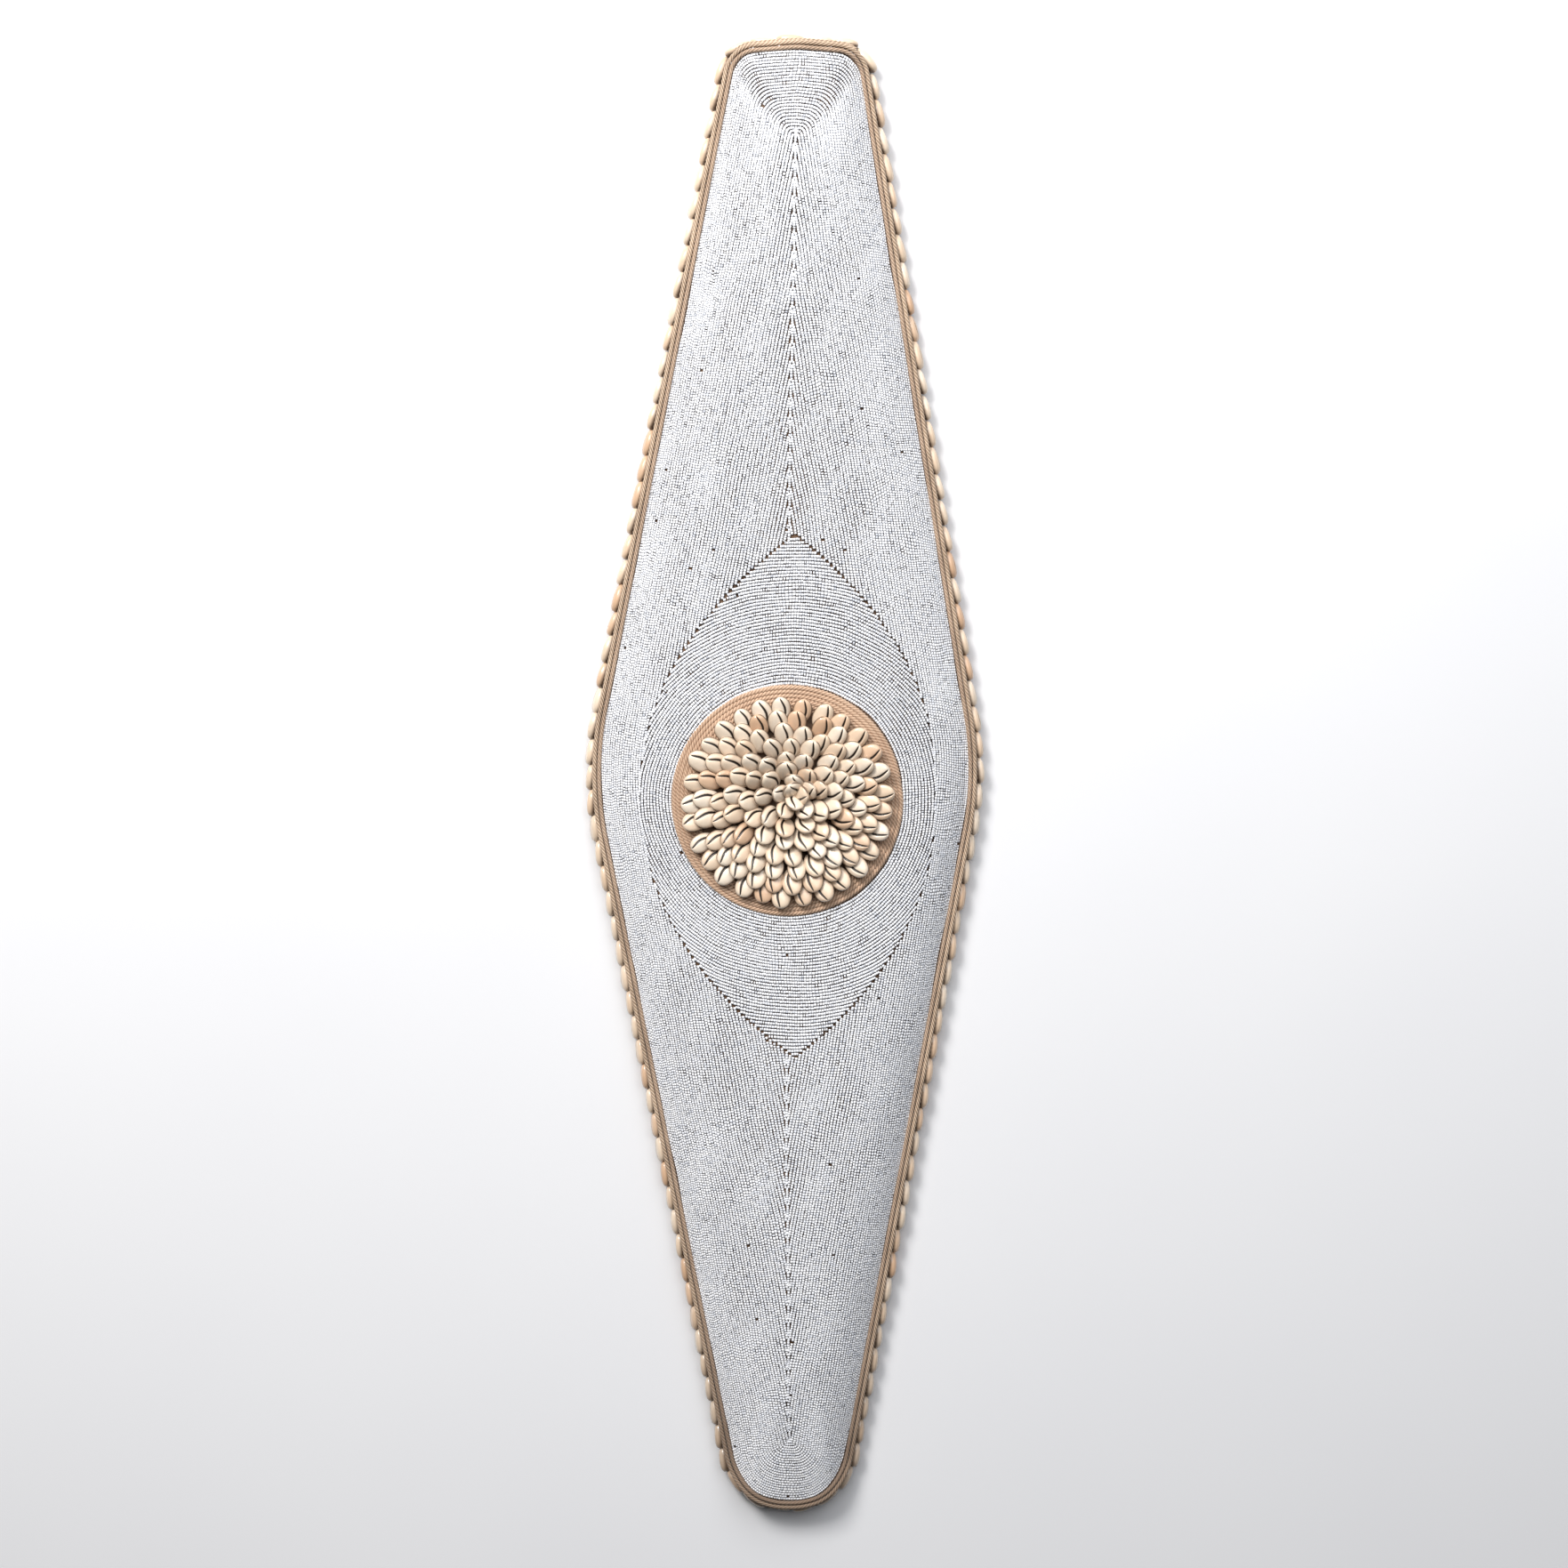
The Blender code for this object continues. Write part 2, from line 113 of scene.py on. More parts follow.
CORNERS = np.array([
    (BOTTOM_LEAN + BOTTOM_HALF_WIDTH, -HALF_LENGTH),
    (WAIST_HALF_WIDTH, WAIST_Y),
    (TOP_LEAN + TOP_HALF_WIDTH, HALF_LENGTH - TOP_BOW),
    (TOP_LEAN, HALF_LENGTH),
    (TOP_LEAN - TOP_HALF_WIDTH, HALF_LENGTH - TOP_BOW),
    (-WAIST_HALF_WIDTH, WAIST_Y),
    (BOTTOM_LEAN - BOTTOM_HALF_WIDTH, -HALF_LENGTH),
])
CORNER_RADII = np.array([
    BOTTOM_CORNER_RADIUS, WAIST_RADIUS, TOP_CORNER_RADIUS, TOP_BOW_RADIUS,
    TOP_CORNER_RADIUS, WAIST_RADIUS, BOTTOM_CORNER_RADIUS,
])


# %% Helpers for lines and tubes of points
def unit(vectors):
    return vectors / (np.linalg.norm(vectors, axis=-1, keepdims=True) + 1e-12)


def walked_along(line):
    """Running length at every point of a line."""
    return np.concatenate([[0], np.cumsum(np.linalg.norm(np.diff(line, axis=0), axis=1))])


def along_line(line, lengths, marks):
    """Points at marks along a line, with as many columns as the line has."""
    return np.stack([np.interp(marks, lengths, column) for column in line.T], -1)


def cells(rows, sides, closed=False):
    """Corners of every cell in rows of points round a tube: two in one row, two in the next."""
    here = np.arange(rows if closed else rows - 1)[:, None] * sides
    ahead = (here + sides) % (rows * sides)
    side = np.arange(sides)
    after = (side + 1) % sides
    return here + side, here + after, ahead + side, ahead + after


# %% The domed front as a formula
def soft_min(a, b, width):
    blend = np.clip(0.5 + 0.5 * (b - a) / width, 0, 1)
    return b + (a - b) * blend - width * blend * (1 - blend)


def edge_distance(x, y, index):
    """How far a point lies inside one straight side of the plan."""
    start = CORNERS[index]
    run = CORNERS[(index + 1) % len(CORNERS)] - start
    return (run[0] * (y - start[1]) - run[1] * (x - start[0])) / np.hypot(*run)


def arc_rise(distance, run, slope):
    radius = run / math.sin(slope)
    lean = np.clip((run - distance) / radius, 0, math.sin(slope))
    below_edge = np.minimum(distance, 0) * math.tan(slope)
    return radius * (np.sqrt(1 - lean ** 2) - math.cos(slope)) + below_edge


def dome(x, y):
    sides = [edge_distance(x, y, index) for index in range(len(CORNERS))]
    lower_right, upper_right, top_right, top_left, upper_left, lower_left, bottom = sides
    right = soft_min(lower_right, upper_right, WAIST_SOFTNESS)
    left = soft_min(lower_left, upper_left, WAIST_SOFTNESS)
    side = soft_min(right, left, RIDGE_SOFTNESS) - BEAD_EDGE_INSET
    end = soft_min(soft_min(top_right, top_left, CROWN_SOFTNESS), bottom, CROWN_SOFTNESS)
    end = end - BEAD_EDGE_INSET
    side_rise = arc_rise(side, SHOULDER_RUN, SHOULDER_SLOPE)
    end_rise = END_LIFT + arc_rise(end, END_RUN, END_SLOPE)
    return soft_min(side_rise, end_rise, CROWN_SOFTNESS)


def face_normal(x, y):
    step = 0.001
    slope_x = (dome(x + step, y) - dome(x - step, y)) / (2 * step)
    slope_y = (dome(x, y + step) - dome(x, y - step)) / (2 * step)
    return unit(np.stack([-slope_x, -slope_y, np.ones_like(slope_x)], -1))


def front(x, y, depth=0.0):
    """Points at a depth under the bead cover's face, square to it."""
    face = np.stack([x, y, WALL_HEIGHT + BEAD_EDGE_RISE + dome(x, y)], -1)
    return face - face_normal(x, y) * np.asarray(depth)[..., None]


print("crest of the dome", round(float(dome(np.array(0.0), np.array(0.2))), 4), "m over the long edges")

# %% [markdown]
# ## Rounded outlines
#
# Cords, shells and bead strings all run parallel to the edge. One function gives the outline moved
# in or out, with each straight side moved by its own amount and each corner rounded by its own
# radius, which is how a string of beads turns a corner: wide on the outside, tighter further in.


# %% A rounded ring parallel to the edge
def inset_corners(insets):
    """Corners of the plan after each side has moved inwards by its own inset."""
    runs = unit(np.roll(CORNERS, -1, axis=0) - CORNERS)
    inwards = np.stack([-runs[:, 1], runs[:, 0]], -1)
    starts = CORNERS + inwards * np.asarray(insets)[:, None]
    return starts, runs


def crossing(start_a, run_a, start_b, run_b):
    gap = start_b - start_a
    turn = run_a[0] * run_b[1] - run_a[1] * run_b[0]
    share = (gap[0] * run_b[1] - gap[1] * run_b[0]) / turn
    return start_a + run_a * share


def rounded(corners, radii, step):
    """A closed line through the corners, each rounded by an arc, with points about a step apart."""
    line = []
    for index, here in enumerate(corners):
        way_in = unit(here - corners[index - 1])
        way_out = unit(corners[(index + 1) % len(corners)] - here)
        half_turn = math.acos(np.clip(way_in @ way_out, -1, 1)) / 2
        radius = max(radii[index], 1e-5)
        centre = here + radius * (np.array((-way_in[1], way_in[0])) - way_in * math.tan(half_turn))
        start = math.atan2(-way_in[0], way_in[1])
        pieces = max(2, int(2 * half_turn * radius / step))
        angles = start + 2 * half_turn * np.arange(pieces + 1) / pieces
        line.append(centre + radius * np.stack([np.cos(angles), np.sin(angles)], -1))
    line = np.concatenate(line)
    return np.vstack([line, line[:1]])


def resample(line, step):
    """The same line with points an even step apart."""
    lengths = walked_along(line)
    marks = np.linspace(0, lengths[-1], max(3, int(lengths[-1] / step)))
    return along_line(line, lengths, marks)


def outline(offset, step=0.002):
    """The edge of the shield, moved outwards by an offset."""
    starts, runs = inset_corners(np.full(len(CORNERS), -offset))
    corners = [crossing(starts[k - 1], runs[k - 1], starts[k], runs[k]) for k in range(len(CORNERS))]
    return resample(rounded(corners, CORNER_RADII + offset, step), step)


edge_line = outline(0.0)
print("length round the edge", round(float(walked_along(edge_line)[-1]), 3), "m")

# %% [markdown]
# ## Where the bead strings run
#
# The long strings are laid one inside the other from the edge inwards, a bead's width apart, measured
# along the curved wood. Round the boss they give way to ring strings, which fill a pointed oval.
# A handmade string is never quite straight, so a slow, shared wobble moves neighbours together.

# %% Spacing of the strings along the curved wood
ROW_PITCH = 0.00285
BEAD_PITCH = 0.00225
WOBBLE_WAVES = 9
WOBBLE_LENGTHS = (0.035, 0.16)
SLIP = 0.35
SLIP_WAVES = 8
SLIP_LENGTHS = (0.012, 0.060)
SLIP_SEED = 5
OVAL_HALF_WIDTH = 0.130
OVAL_REACH_TOP = 0.232
OVAL_REACH_BOTTOM = 0.229
OVAL_POWER = 2.3
OVAL_LEAN = 0.0065
FARTHEST_SHARE = 1.5
SIDE_OVERLAP = 0.0018
SIDE_STRETCH = 0.120


def inset_of(walk, run, slope):
    """Level distance from the edge for a distance walked up the arc of a shoulder."""
    radius = run / math.sin(slope)
    if walk >= radius * slope:
        return run + walk - radius * slope
    return run - radius * math.sin(slope - walk / radius)


def waves(points, seed, count, lengths, shifts):
    """Random waves across the plan: the length of each, and its turn at every point."""
    rng = np.random.default_rng(seed)
    for _ in range(count):
        length = rng.uniform(*lengths)
        angle = rng.uniform(0, 2 * math.pi)
        along = points[:, 0] * math.cos(angle) + points[:, 1] * math.sin(angle)
        yield length, (along * 2 * math.pi / length)[:, None] + rng.uniform(0, 2 * math.pi, shifts)


def wobble(points, size, seed):
    """A slow handmade unevenness, the same for neighbouring strings."""
    turns = [turn for length, turn in waves(points, seed, WOBBLE_WAVES, WOBBLE_LENGTHS, 2)]
    return points + np.sin(turns).sum(axis=0) * size / math.sqrt(WOBBLE_WAVES)


def slip(points):
    """How far the beads have slipped along their strings, in beads, the same for neighbours."""
    total = np.zeros(len(points))
    for length, turn in waves(points, SLIP_SEED, SLIP_WAVES, SLIP_LENGTHS, 1):
        total += np.sin(turn[:, 0]) * length / SLIP_LENGTHS[1]
    return total * SLIP


def counted(line, origin=0.0):
    """The line with a bead count as a third column."""
    return np.column_stack([line, (walked_along(line) - origin) / BEAD_PITCH + slip(line)])


def in_oval(points, grow=0.0):
    """How far inside the pointed oval a point lies, as a width; negative outside."""
    x = points[:, 0] - BOSS[0]
    y = points[:, 1] - BOSS[1]
    reach = np.where(y > 0, OVAL_REACH_TOP, OVAL_REACH_BOTTOM)
    share = np.minimum(np.abs(y) / reach, FARTHEST_SHARE)
    half = OVAL_HALF_WIDTH * (1 - share ** OVAL_POWER) + grow
    return half - np.abs(x - OVAL_LEAN * share)


def side_overlap(points):
    """Extra reach at the oval's sides, where all the strings run along its border."""
    return SIDE_OVERLAP * (1 - np.clip(np.abs(points[:, 1] - BOSS[1]) / SIDE_STRETCH, 0, 1))


def runs_where(line, keep):
    """The stretches of a closed line where a mask holds."""
    if keep.all():
        return [line]
    first = int(np.argmin(keep))
    line = np.roll(line[:-1], -first, axis=0)
    keep = np.roll(keep[:-1], -first)
    marks = np.flatnonzero(np.diff(keep.astype(int))) + 1
    return [piece for piece in np.split(line, marks)[1::2] if len(piece) > 3]


# %% The long strings
SEAM_RADIUS = 0.0012
SEAM_TIP = (-0.0047, 0.0066)
TIP_POINTS = 9
SEAM_CLEAR = 0.0022
TIGHTEST_TOP_CORNER = 0.0165
WIDEST_END_TURN = 1.12
TOP_TURN = 0.62
TOP_BOW_TURN = 1.2
TIGHTEST_WAIST = 0.05
FIRST_ROW = -0.5
LAST_ROW_SPACE = 0.004
END_ROW_SHIFT = 0.0019
BORDER_GAP = 0.2 * ROW_PITCH
TIP_REACH = 2 * ROW_PITCH
LONG_WOBBLE = (0.0006, 11)
LINE_STEP = 0.0012


def side_inset(walk):
    return BEAD_EDGE_INSET + inset_of(walk, SHOULDER_RUN, SHOULDER_SLOPE)


def seam_tip(point, way):
    """A few beads that fill the narrow wedge where a string turns back on itself."""
    return point + np.array((0, way)) * np.linspace(*SEAM_TIP, TIP_POINTS)[:, None]


def long_string(walk):
    """One ring of the long strings, at a distance walked in, and the tips at its seams."""
    side = side_inset(walk)
    end = BEAD_EDGE_INSET + inset_of(walk + END_ROW_SHIFT, END_RUN, END_SLOPE)
    starts, runs = inset_corners([side, side, end, end, side, side, end])
    right_low, right_high, top_right, top_left, left_high, left_low, bottom = zip(starts, runs)
    waist_radius = max(WAIST_RADIUS - side, TIGHTEST_WAIST)
    corners = [crossing(*right_low, *right_high)]
    radii = [waist_radius]
    top_middle = crossing(*top_right, *top_left)
    apex = crossing(*right_high, *left_high)
    tips = []
    if apex[1] > top_middle[1] + SEAM_CLEAR:
        top_half = abs(crossing(*right_high, *top_right)[0] - crossing(*top_left, *left_high)[0]) / 2
        top_radius = min(max(TOP_CORNER_RADIUS - side, TIGHTEST_TOP_CORNER), top_half * TOP_TURN)
        corners += [crossing(*right_high, *top_right), top_middle, crossing(*top_left, *left_high)]
        radii += [top_radius, top_half * TOP_BOW_TURN, top_radius]
    else:
        corners.append(apex)
        radii.append(SEAM_RADIUS)
        tips.append(seam_tip(apex, 1))
    corners.append(crossing(*left_high, *left_low))
    radii.append(waist_radius)
    low_apex = crossing(*right_low, *left_low)
    if low_apex[1] < crossing(*bottom, *right_low)[1] - SEAM_CLEAR:
        corners += [crossing(*left_low, *bottom), crossing(*bottom, *right_low)]
        half = (corners[-1][0] - corners[-2][0]) / 2
        radii += [min(BOTTOM_CORNER_RADIUS - side, half * WIDEST_END_TURN)] * 2
    else:
        corners.append(low_apex)
        radii.append(SEAM_RADIUS)
        tips.append(seam_tip(low_apex, -1))
    return rounded(corners, radii, LINE_STEP), tips


def waist_count(ring):
    """Counts beads from the waist on either side, so that beads of neighbouring strings stand in line."""
    walked = walked_along(ring)
    left = ring[:, 0] < 0
    left_waist = int(np.argmin(np.where(left, np.abs(ring[:, 1] - WAIST_Y), 1.0)))
    last_half = np.arange(len(ring)) > left_waist
    return counted(ring, np.where(left, walked[left_waist], np.where(last_half, walked[-1], 0.0)))


long_strings = []
walk = ROW_PITCH * FIRST_ROW
while side_inset(walk) <= WAIST_HALF_WIDTH - LAST_ROW_SPACE:
    ring, tips = long_string(walk)
    ring = wobble(resample(ring, LINE_STEP), *LONG_WOBBLE)
    long_strings += runs_where(waist_count(ring), in_oval(ring, BORDER_GAP) < 0)
    tips = [wobble(tip, *LONG_WOBBLE) for tip in tips]
    long_strings += [counted(tip) for tip in tips if in_oval(tip).max() < TIP_REACH]
    walk += ROW_PITCH
print("long strings:", len(long_strings))

# %% The ring strings
FIRST_RING = 0.55
RING_WOBBLE = (0.0005, 23)


def ring_string(index):
    """A circle round the boss, bent a little towards the shield's own middle line."""
    radius = DISC_RADIUS + (index + FIRST_RING) * ROW_PITCH
    angles = np.linspace(0, 2 * math.pi, int(2 * math.pi * radius / LINE_STEP))
    ring = np.stack([np.cos(angles), np.sin(angles)], -1) * radius
    ring[:, 0] += OVAL_LEAN * np.abs(ring[:, 1]) / OVAL_REACH_TOP
    return ring + BOSS


ring_strings = []
for index in range(int((OVAL_REACH_TOP - DISC_RADIUS) / ROW_PITCH)):
    ring = wobble(ring_string(index), *RING_WOBBLE)
    ring_strings += runs_where(counted(ring), in_oval(ring, side_overlap(ring)) > 0)
print("ring strings:", len(ring_strings))

# %% [markdown]
# ## Threading the beads
#
# Each string becomes a row of short glass tubes with rounded shoulders. A bead has ten corners: five
# at each end, so its top is arched and its ends catch the light. Beads differ a little in length,
# width and set, and the odd one is missing, which lets the brown backing show as a dark speck.

# %% Beads along a string
BEAD_WIDTH = 0.00279
BEAD_HEIGHT = 0.00215
BEAD_SECTION = np.array([(-0.45, 0.0), (-0.385, 0.60), (0.0, 1.0), (0.385, 0.60), (0.45, 0.0)])
BEAD_SINK = 0.0027
BEAD_FILL = 0.445
SHORT_BEADS = 0.05
SHORT_SHARE = 0.62
BEAD_JITTER = 0.05
LOST_BEADS = 0.0006
BEAD_SKEW = 0.07
BEAD_ASIDE = 0.00010
BEAD_LIFT = 0.00008
BEAD_WIDTHS = (1.0, 0.045)
BEAD_WIDTH_LIMITS = (0.85, 1.12)
LOOK_AHEAD = 0.0006
JOINT_MARGIN = 0.45
JUMP = 0.9
LONGEST_STEP_BACK = 0.4
SHORTEST_STEP = 0.01
BEAD_SEEDS = (100, 104)


def bead_ends(count, lengths, rng):
    """Where one bead meets the next, from a count that may jump where two halves of a string meet."""
    steps = np.diff(count)
    part = (steps + LONGEST_STEP_BACK) % 1 - LONGEST_STEP_BACK
    steps = np.where(np.abs(steps) > JUMP, part, steps)
    count = count[0] % 1 + np.concatenate([[0], np.cumsum(np.maximum(steps, SHORTEST_STEP))])
    whole = np.arange(math.ceil(count[0] + JOINT_MARGIN), math.floor(count[-1] - JOINT_MARGIN) + 1)
    joints = np.interp(whole + rng.normal(0, BEAD_JITTER, len(whole)), count, lengths)
    return np.concatenate([[0], joints, [lengths[-1]]])


def bead_corners(line, rng):
    """Ten corners of every bead on one string, and one random tone for each bead."""
    level = front(line[:, 0], line[:, 1], BEAD_SINK)
    level[:, 2] = np.maximum(level[:, 2], WALL_HEIGHT)  # beads at the foot rest on the ledge
    lengths = walked_along(level)
    ends = bead_ends(line[:, 2], lengths, rng)
    count = len(ends) - 1
    marks = (ends[1:] + ends[:-1]) / 2
    half = (ends[1:] - ends[:-1]) * BEAD_FILL
    half[rng.random(count) < SHORT_BEADS] *= SHORT_SHARE
    kept = rng.random(count) > LOST_BEADS
    marks, half = marks[kept], half[kept]
    count = len(marks)
    middle = along_line(level, lengths, marks)
    ahead = along_line(level, lengths, marks + LOOK_AHEAD)
    along = unit(ahead - along_line(level, lengths, marks - LOOK_AHEAD))
    normal = face_normal(middle[:, 0], middle[:, 1])
    across = unit(np.cross(normal, along))
    skew = rng.normal(0, BEAD_SKEW, count)[:, None]
    along, across = along + across * skew, across - along * skew
    middle = middle + across * rng.normal(0, BEAD_ASIDE, count)[:, None]
    middle = middle + normal * rng.normal(0, BEAD_LIFT, count)[:, None]
    width = BEAD_WIDTH * rng.normal(*BEAD_WIDTHS, count).clip(*BEAD_WIDTH_LIMITS)
    corners = []
    for end in (-1, 1):
        for side, up in BEAD_SECTION:
            point = middle + along * (end * half)[:, None]
            point = point + across * (side * width)[:, None]
            corners.append(point + normal * up * BEAD_HEIGHT)
    return np.stack(corners, 1), rng.random(count)


def new_mesh(name, points, faces, attributes=None):
    """A smooth mesh object from arrays; faces is a list of equal-sided face arrays."""
    mesh = bpy.data.meshes.new(name)
    mesh.vertices.add(len(points))
    mesh.vertices.foreach_set("co", np.ascontiguousarray(points, np.float32).ravel())
    corner_counts = np.concatenate([np.full(len(block), block.shape[1]) for block in faces])
    starts = np.concatenate([[0], np.cumsum(corner_counts)[:-1]])
    corners = np.concatenate([block.ravel() for block in faces])
    mesh.loops.add(len(corners))
    mesh.loops.foreach_set("vertex_index", corners.astype(np.int32))
    mesh.polygons.add(len(corner_counts))
    mesh.polygons.foreach_set("loop_start", starts.astype(np.int32))
    mesh.update(calc_edges=True)
    for key, values in (attributes or {}).items():
        layer = mesh.attributes.new(key, "FLOAT", "POINT")
        layer.data.foreach_set("value", np.ascontiguousarray(values, np.float32))
    mesh.validate()
    mesh.shade_smooth()
    triangles = sum(len(block) * (block.shape[1] - 2) for block in faces)
    print(f"{name}: {len(points)} points, {triangles} triangles")
    return added(name, mesh)


def bead_piece(name, corners, tones):
    """One object from the corners of many beads."""
    first = np.arange(len(corners))[:, None] * 10
    sides = [first + np.array([k, (k + 1) % 5, (k + 1) % 5 + 5, k + 5]) for k in range(5)]
    caps = [first + np.array([4, 3, 2, 1, 0]), first + np.array([5, 6, 7, 8, 9])]
    faces = [np.concatenate(sides)[:, ::-1], np.concatenate(caps)[:, ::-1]]
    print(name, "beads:", len(corners))
    heights = np.tile(BEAD_SECTION[:, 1], 2 * len(corners))
    marks = {"tone": np.repeat(tones, 10), "height": heights}
    return new_mesh(name, corners.reshape(-1, 3), faces, marks)


def thread(strings, seed):
    rng = np.random.default_rng(seed)
    return [np.concatenate(part) for part in zip(*[bead_corners(line, rng) for line in strings])]


# %% Thread them all
STRETCHES = ("top", "upper", "lower", "bottom")
CUTS = (1.0, 0.30, 0.0, -0.30, -1.0)

long_beads, long_tones = thread(long_strings, BEAD_SEEDS[0])
places = long_beads[:, :, 1].mean(axis=1)
bead_pieces = []
for name, high, low in zip(STRETCHES, CUTS, CUTS[1:]):
    chosen = (places >= low) & (places < high)
    bead_pieces.append(bead_piece(f"long_strings_{name}", long_beads[chosen], long_tones[chosen]))
bead_pieces.append(bead_piece("ring_strings", *thread(ring_strings, BEAD_SEEDS[1])))

# %% [markdown]
# ## Twisted cord
#
# The rope round the edge is laid from four strands. A single tube whose section has four lobes, turned
# a little further at each step, looks the same as four tubes with far less mesh. The number of sides
# equals the number of steps in a full turn, so each strand's crest always falls on mesh corners, and
# the triangles are cut along the crest.

# %% A cord with a visible lay
CORD_RADIUS = 0.0019
CORD_SWELL = 0.0002
CORD_LAY = 0.0150
STRANDS = 4
STRAND_DEPTH = 0.34
FINE_LAY = 12
PLAIN_LAY = 8
CORD_LOOK_AHEAD = CORD_LAY / 8


def twisted_cord(name, route, closed, sides, radius=CORD_RADIUS, lay=CORD_LAY):
    """A laid cord along a route of 3-D points; a closed route repeats its first point at its end."""
    lengths = walked_along(route)
    count = round(lengths[-1] / lay) * sides
    marks = np.arange(count + (not closed)) * lengths[-1] / count
    count = len(marks)
    near = [marks - CORD_LOOK_AHEAD, marks + CORD_LOOK_AHEAD]
    if closed:
        near = [place % lengths[-1] for place in near]
    behind, ahead = [along_line(route, lengths, place) for place in near]
    aside = unit(np.cross(ahead - behind, (0, 0, 1.0)))
    up = unit(np.cross(aside, ahead - behind))
    turn = 2 * math.pi / sides
    angles = turn * np.arange(sides)
    crest = 0.5 + 0.5 * np.cos(STRANDS * (angles[None] - turn * np.arange(count)[:, None]))
    reach = (radius + CORD_SWELL) * (1 - STRAND_DEPTH * (1 - crest))
    spokes = aside[:, None] * np.cos(angles)[None, :, None] + up[:, None] * np.sin(angles)[None, :, None]
    points = along_line(route, lengths, marks)[:, None] + spokes * reach[..., None]
    a, b, c, d = cells(count, sides, closed)
    faces = [np.concatenate([np.stack(t, -1).reshape(-1, 3) for t in ((a, d, b), (a, c, d))])]
    if not closed:
        faces.append(np.stack([np.arange(sides), (count - 1) * sides + np.arange(sides)[::-1]]))
    marks = {
        "crest": crest.ravel(),
        "along": np.repeat(marks, sides),
        "around": np.tile(angles * radius, count),
    }
    return new_mesh(name, points.reshape(-1, 3), faces, marks)


# %% The cords round the edge and across the ends
CORD_SEAT_GAP = 0.0006
CORD_GAP = 0.0003
CORD_STEP_ASIDE = CORD_RADIUS + CORD_GAP / 2
END_CORD_DROP = 0.0038
END_CORD_ASIDE = CORD_STEP_ASIDE + math.sqrt((2 * CORD_RADIUS + 2 * CORD_GAP) ** 2 - END_CORD_DROP ** 2)
END_CORD_SPREAD = math.radians(45)


def edge_ways(line):
    """Unit vectors along and outwards at every point of a closed line that ends where it starts."""
    ring = line[:-1]
    way = unit(np.roll(ring, -1, axis=0) - np.roll(ring, 1, axis=0))
    way = np.vstack([way, way[:1]])
    return way, np.stack([way[:, 1], -way[:, 0]], -1)


def ledge_route(offset, drop=0.0):
    """Middle of a cord that lies on the ledge, at an offset from the outline."""
    line = outline(offset)
    way, outwards = edge_ways(line)
    inside = line - outwards * (offset + BEAD_EDGE_INSET)
    seat = WALL_HEIGHT + np.maximum(dome(inside[:, 0], inside[:, 1]), 0) + CORD_SEAT_GAP
    return np.column_stack([line, seat + CORD_RADIUS - drop])


def end_stretch(route, hub, sign):
    """The part of a closed route that faces one end of the shield."""
    ring = route[:-1]
    start = int(np.argmin(ring[:, 1] * sign))
    ring = np.roll(ring, -start, axis=0)
    away = ring[:, :2] - hub
    facing = np.abs(np.arctan2(away[:, 0], away[:, 1] * sign)) < math.pi / 2 - END_CORD_SPREAD
    return ring[facing]


top_hub = np.array((TOP_LEAN, HALF_LENGTH - TOP_HALF_WIDTH))
bottom_hub = np.array((BOTTOM_LEAN, BOTTOM_HALF_WIDTH - HALF_LENGTH))
end_route = ledge_route(END_CORD_ASIDE, END_CORD_DROP)
top_route = end_stretch(end_route, top_hub, 1)
bottom_route = end_stretch(end_route, bottom_hub, -1)
cord_pieces = {
    "edge_cord_inner": twisted_cord("rope_inner", ledge_route(-CORD_STEP_ASIDE), True, PLAIN_LAY),
    "edge_cord_outer": twisted_cord("rope_outer", ledge_route(CORD_STEP_ASIDE), True, FINE_LAY),
    "end_cord_top": twisted_cord("rope_top_end", top_route, False, FINE_LAY),
    "end_cord_bottom": twisted_cord("rope_bottom_end", bottom_route, False, FINE_LAY),
}

# %% [markdown]
# ## The coiled disc
#
# Under the boss the same kind of cord is wound flat, turn by turn, and glued down. Five turns show
# outside the shells, so those are laid cord. The turns under the shells show only as dark ridges in the
# gaps, so there a turned surface with one ridge for each turn is enough; its dark brown is painted shade.

# %% The coil under the boss
COIL_RADIUS = 0.0026
COIL_LAY = 0.0136
COIL_PITCH = 0.0037
COIL_DEPTH = 0.0017
COIL_STEP_SHARE = 0.06
COIL_DIVE = 0.0030
COIL_STEPS = 160
SHOWN_TURNS = 5
CORE_SIDES = 60
CORE_GROOVE = 0.0014
CORE_DEPTH = 0.0026
CORE_MIDDLE = 0.0005


def coil_route():
    """Full turns of one radius, each with a short step inwards; the first end dives under the step."""
    outer = DISC_RADIUS - COIL_PITCH / 2
    turns = np.linspace(0, SHOWN_TURNS + 1, (SHOWN_TURNS + 1) * COIL_STEPS)
    step = np.clip((turns % 1) / COIL_STEP_SHARE, 0, 1)
    step = step * step * (3 - 2 * step)
    radius = outer - COIL_PITCH * np.maximum(np.floor(turns) - 1 + step, 0)
    sink = COIL_DIVE * np.where(turns < 1, 1 - step, 0)
    x = BOSS[0] + radius * np.cos(2 * math.pi * turns)
    y = BOSS[1] + radius * np.sin(2 * math.pi * turns)
    return front(x, y, COIL_DEPTH + sink)


def coil_core():
    """A ridged plate for the turns under the shells."""
    reach = DISC_RADIUS - COIL_PITCH * (SHOWN_TURNS + 1)
    steps = 2 * int(reach / COIL_PITCH)
    angles = 2 * math.pi * np.arange(CORE_SIDES) / CORE_SIDES
    radii = [reach]
    radii += [max(reach * (1 - step / steps), CORE_MIDDLE) for step in range(steps + 1)]
    depths = [CORE_DEPTH] + [CORE_GROOVE, 0.0] * (steps // 2) + [CORE_GROOVE]
    loops = []
    for radius, depth in zip(radii, depths):
        loops.append(front(BOSS[0] + radius * np.cos(angles), BOSS[1] + radius * np.sin(angles), depth))
    return np.stack(loops)


